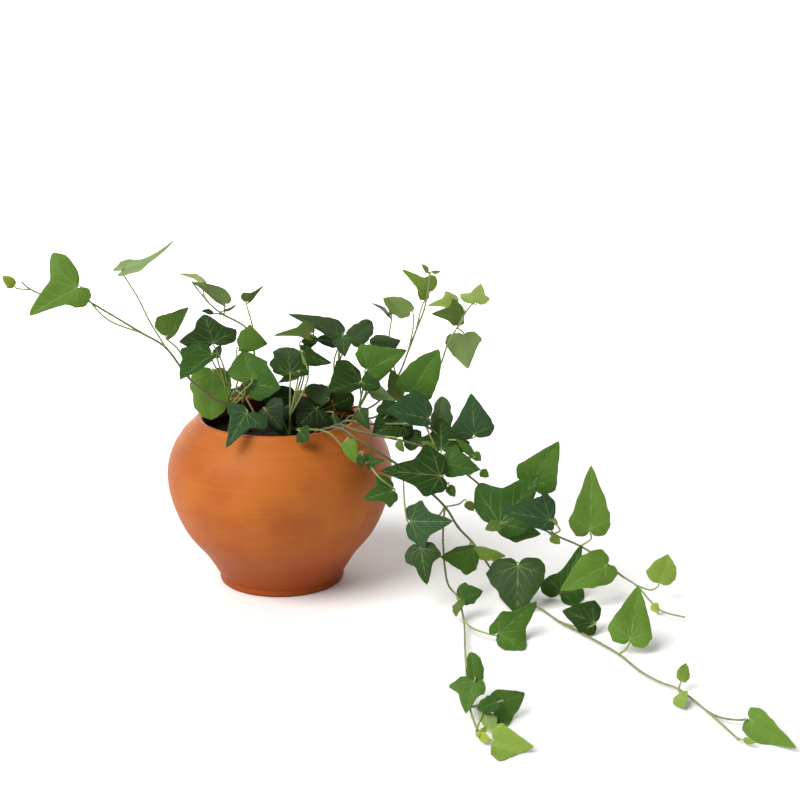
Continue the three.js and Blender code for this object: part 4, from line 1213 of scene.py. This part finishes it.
print("blade:", len(board.tree.nodes), "nodes,", len(VEINS), "veins to a half")

# %% The bark's material
bark_finish, board, shader = new_material("ivy bark")
tone = board.add("ShaderNodeAttribute", {"attribute_name": "tone"}, {}, "Color")
place = board.add("ShaderNodeTexCoord", {}, {}, "Object")
streaks = noise(board, place, 380.0, 3.0, 0.6)
board.plug(shader, "Base Color", tone * (0.6 + streaks * 0.8))
board.plug(shader, "Roughness", 0.45 + streaks * 0.2)
board.plug(shader, "Normal", bump(board, streaks, 0.4, 0.0004))
print("bark:", len(board.tree.nodes), "nodes")

# %% [markdown]
# ## The graph that grows a stem
#
# Lines become tubes: Mesh to Curve, a Catmull-Rom curve through the points, and Curve to
# Mesh with the girth as its scale. Small swellings stand at the joints, where leaves grow.
# Every lone point gets the flat plan of its form as an instance. Once the instances are
# real, each of their points still knows its leaf's directions, and one sum lifts it from
# the plan: the blade arches along its midrib, forms a gutter beside it, and its lobes droop
# and wave. This is the same surface as the solid's, in finer steps. Noise of each leaf's own
# makes the blade a little wider here and narrower there, as no two ivy leaves are alike. A
# blade that would dip into the table is pushed up along the line of sight and lies on it.

# %% A leafy stem as a graph
ARCH = 0.05
GUTTER = 0.2
DROOP = 0.42
WAVE = 0.022
GROUND_CLEARANCE = 0.0007    # of the middle of a blade that lies on the table

board, entry = new_graph("leafy stem", {
    "Plans": "NodeSocketCollection", "Thickness": "NodeSocketFloat", "Wave": "NodeSocketFloat",
    "Unevenness": "NodeSocketFloat", "Step": "NodeSocketFloat", "Sides": "NodeSocketInt",
    "Swelling": "NodeSocketFloat", "Blade finish": "NodeSocketMaterial",
    "Bark finish": "NodeSocketMaterial"})


def fact(name, kind="FLOAT"):
    return board.add(
        "GeometryNodeInputNamedAttribute", {"data_type": kind}, {"Name": name}, "Attribute")


form = fact("form", "INT")
is_leaf = form.sum("GREATER_THAN", form, -0.5)
sorting = board.tree.nodes.new("GeometryNodeSeparateGeometry")
board.tree.links.new(entry["Geometry"].socket, sorting.inputs["Geometry"])
board.tree.links.new(is_leaf.socket, sorting.inputs["Selection"])
leaf_points, ways = (Wire(board, socket) for socket in sorting.outputs)

line = board.add("GeometryNodeMeshToCurve", {}, {"Mesh": ways})
line = board.add("GeometryNodeCurveSplineType", {"spline_type": "CATMULL_ROM"}, {"Curve": line})
line = board.add(
    "GeometryNodeResampleCurve", {"mode": "LENGTH"}, {"Curve": line, "Length": entry["Step"]})
ring = board.add(
    "GeometryNodeCurvePrimitiveCircle", {}, {"Resolution": entry["Sides"], "Radius": 1.0})
tubes = board.add("GeometryNodeCurveToMesh", {}, {
    "Curve": line, "Profile Curve": ring, "Scale": fact("girth"), "Fill Caps": True})
knot = board.add("GeometryNodeMeshUVSphere", {}, {"Segments": 10, "Rings": 6, "Radius": 1.0})
swollen = fact("girth") * entry["Swelling"]
knots = board.add("GeometryNodeInstanceOnPoints", {}, {
    "Points": ways, "Selection": fact("joint"), "Instance": knot,
    "Scale": board.vector(swollen, swollen, swollen)})
knots = board.add("GeometryNodeRealizeInstances", {}, {"Geometry": knots})
woody = board.add("GeometryNodeSetMaterial", {}, {
    "Geometry": board.join(tubes, knots), "Material": entry["Bark finish"]})

choice = board.add(
    "GeometryNodeCollectionInfo", {},
    {"Collection": entry["Plans"], "Separate Children": True, "Reset Children": True})
blades = board.add("GeometryNodeInstanceOnPoints", {}, {
    "Points": leaf_points, "Instance": choice, "Pick Instance": True, "Instance Index": form})
blades = board.add("GeometryNodeRealizeInstances", {}, {"Geometry": blades})
plan = fact("plan", "FLOAT_VECTOR")
plan_x, plan_y, sheet = plan.parts()
out = plan_x.at_least(0.0) * fact("right") + plan_x.at_most(0.0) * fact("left")
phase = fact("phase")
own_place = board.vector(plan_x * 2.4 + phase, plan_y * 3.0, phase)
out = out * (1 + (noise(board, own_place, 1.0) - 0.5) * entry["Unevenness"])
span = out.sum("ABSOLUTE", out)
ripple = plan_y * 9.0 + plan_x * 2.0 + phase
ripple = ripple.sum("SINE", ripple) * plan_x * plan_x * entry["Wave"]
rise = plan_y * (1 - plan_y) * (4 * ARCH) + span * GUTTER - out * out * DROOP + ripple
size = fact("blade_length")
face = fact("face", "FLOAT_VECTOR")
foot = board.add("GeometryNodeInputPosition", {}, {}) - plan
spot = foot + fact("across", "FLOAT_VECTOR") * (out * size)
spot = spot + fact("midrib", "FLOAT_VECTOR") * (plan_y * size)
spot = spot + face * (rise * size)
height = spot.parts()[2]
lift = ((GROUND_CLEARANCE - height) / (EYE.z - height)).at_least(0.0)
spot = spot + (tuple(EYE) - spot) * lift
spot = spot + face * (sheet * entry["Thickness"] * 0.5)
blades = board.add("GeometryNodeSetPosition", {}, {"Geometry": blades, "Position": spot})
blades = board.add("GeometryNodeSetMaterial", {}, {
    "Geometry": blades, "Material": entry["Blade finish"]})

finish_graph(board, board.add(
    "GeometryNodeSetShadeSmooth", {}, {"Geometry": board.join(woody, blades)}))
stem_board = board
print("leafy stem graph:", len(board.tree.nodes), "nodes")

# %% The stems that the view shows
GROWTH = {
    "Plans": plans, "Thickness": BLADE_THICKNESS, "Wave": WAVE, "Unevenness": 0.45,
    "Step": 0.0025, "Sides": 8, "Swelling": 1.3,
    "Blade finish": blade_finish, "Bark finish": bark_finish,
}


def grow_stem(node, skeleton):
    stem = grow(new_object(node + "_grown", skeleton.mesh(node)), stem_board, GROWTH)
    dress(stem, node, slot="foliage")


for node, stem in STEMS.items():
    grow_stem(node, stem_skeleton(stem))

# %% [markdown]
# ## The far side
#
# No view of the plant is bare, so two more shoots hang over the rim behind. They follow one
# rule: the same route of reaches and heights, turned to each shoot's angle, with leaves to
# the left and right in turn. A seeded row of numbers makes them differ, and it is the same
# row that shaped the solids.

# %% The back shoots
BACK_ANGLES = (66, 118)
BACK_ROUTE = ((76, 139), (89, 127), (98, 108), (100, 86), (98, 66))
BACK_RADIUS = 1.0
BACK_ROOT = 36
BACK_SEED = 11
BACK_LENGTHS = (36, 34, 30, 26, 20)
BACK_TONES = ("mid", "fresh", "dark", "bright", "light")
BACK_WANDER = 5
BACK_STALK_SIDE = 0.008
BACK_STALK_OUT = 0.006
BACK_HALVES = (0.52, 0.52)


def draws_from(seed):
    """Numbers from 0 to 1, the same row of them for the same seed."""
    state = seed
    while True:
        state = (state * 16807) % 2147483647
        yield state / 2147483647


def back_skeleton(over, draws):
    outward = level_ray(over)
    sideways = Vector((-outward.y, outward.x, 0.0))
    route = []
    for reach, height in BACK_ROUTE:
        point = outward * reach + sideways * (next(draws) - 0.5) * BACK_WANDER
        point.z = height
        route.append(point * MM)
    radius = BACK_RADIUS * MM
    way = Way(stem_lead(outward * BACK_ROOT, radius, over), route, radius)
    skeleton = Skeleton()
    skeleton.add_way(way.points, (radius, STEM_TIP_RADIUS), (BARK_OLD, BARK_YOUNG), way.joints())
    for index, point in enumerate(route):
        side = 1 if index % 2 else -1
        length = BACK_LENGTHS[index] * MM
        base = point + sideways * side * BACK_STALK_SIDE + outward * BACK_STALK_OUT
        tip = base + sideways * side * length * (0.45 + 0.2 * next(draws)) + outward * length * 0.3
        tip.z -= length * (0.6 + 0.2 * next(draws))
        form = "star" if index < 3 else "arrow"
        facing = outward + Vector((0.0, 0.0, 0.8))
        add_leaf(
            skeleton, way.sunk(index), form, BACK_TONES[index], base, tip, 0, BACK_HALVES, [], facing)
    return skeleton


draws = draws_from(BACK_SEED)
for number, over in enumerate(BACK_ANGLES, 1):
    grow_stem(f"back_shoot_{number}", back_skeleton(over, draws))

# %% [markdown]
# ## The end
#
# The flat plans have done their work and go. The finished box is compared with the box of
# the solids, because the dressed plant may not be larger than they are.

# %% Tidy up and measure
for plan_object in list(plans.objects):
    bpy.data.objects.remove(plan_object)
bpy.data.collections.remove(plans)
dressed_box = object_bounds()
for side, letter in enumerate("xyz"):
    solid = cad_box[1][side] - cad_box[0][side]
    dressed = dressed_box[1][side] - dressed_box[0][side]
    print(f"{letter}: solids {solid:.4f} m, dressed {dressed:.4f} m")
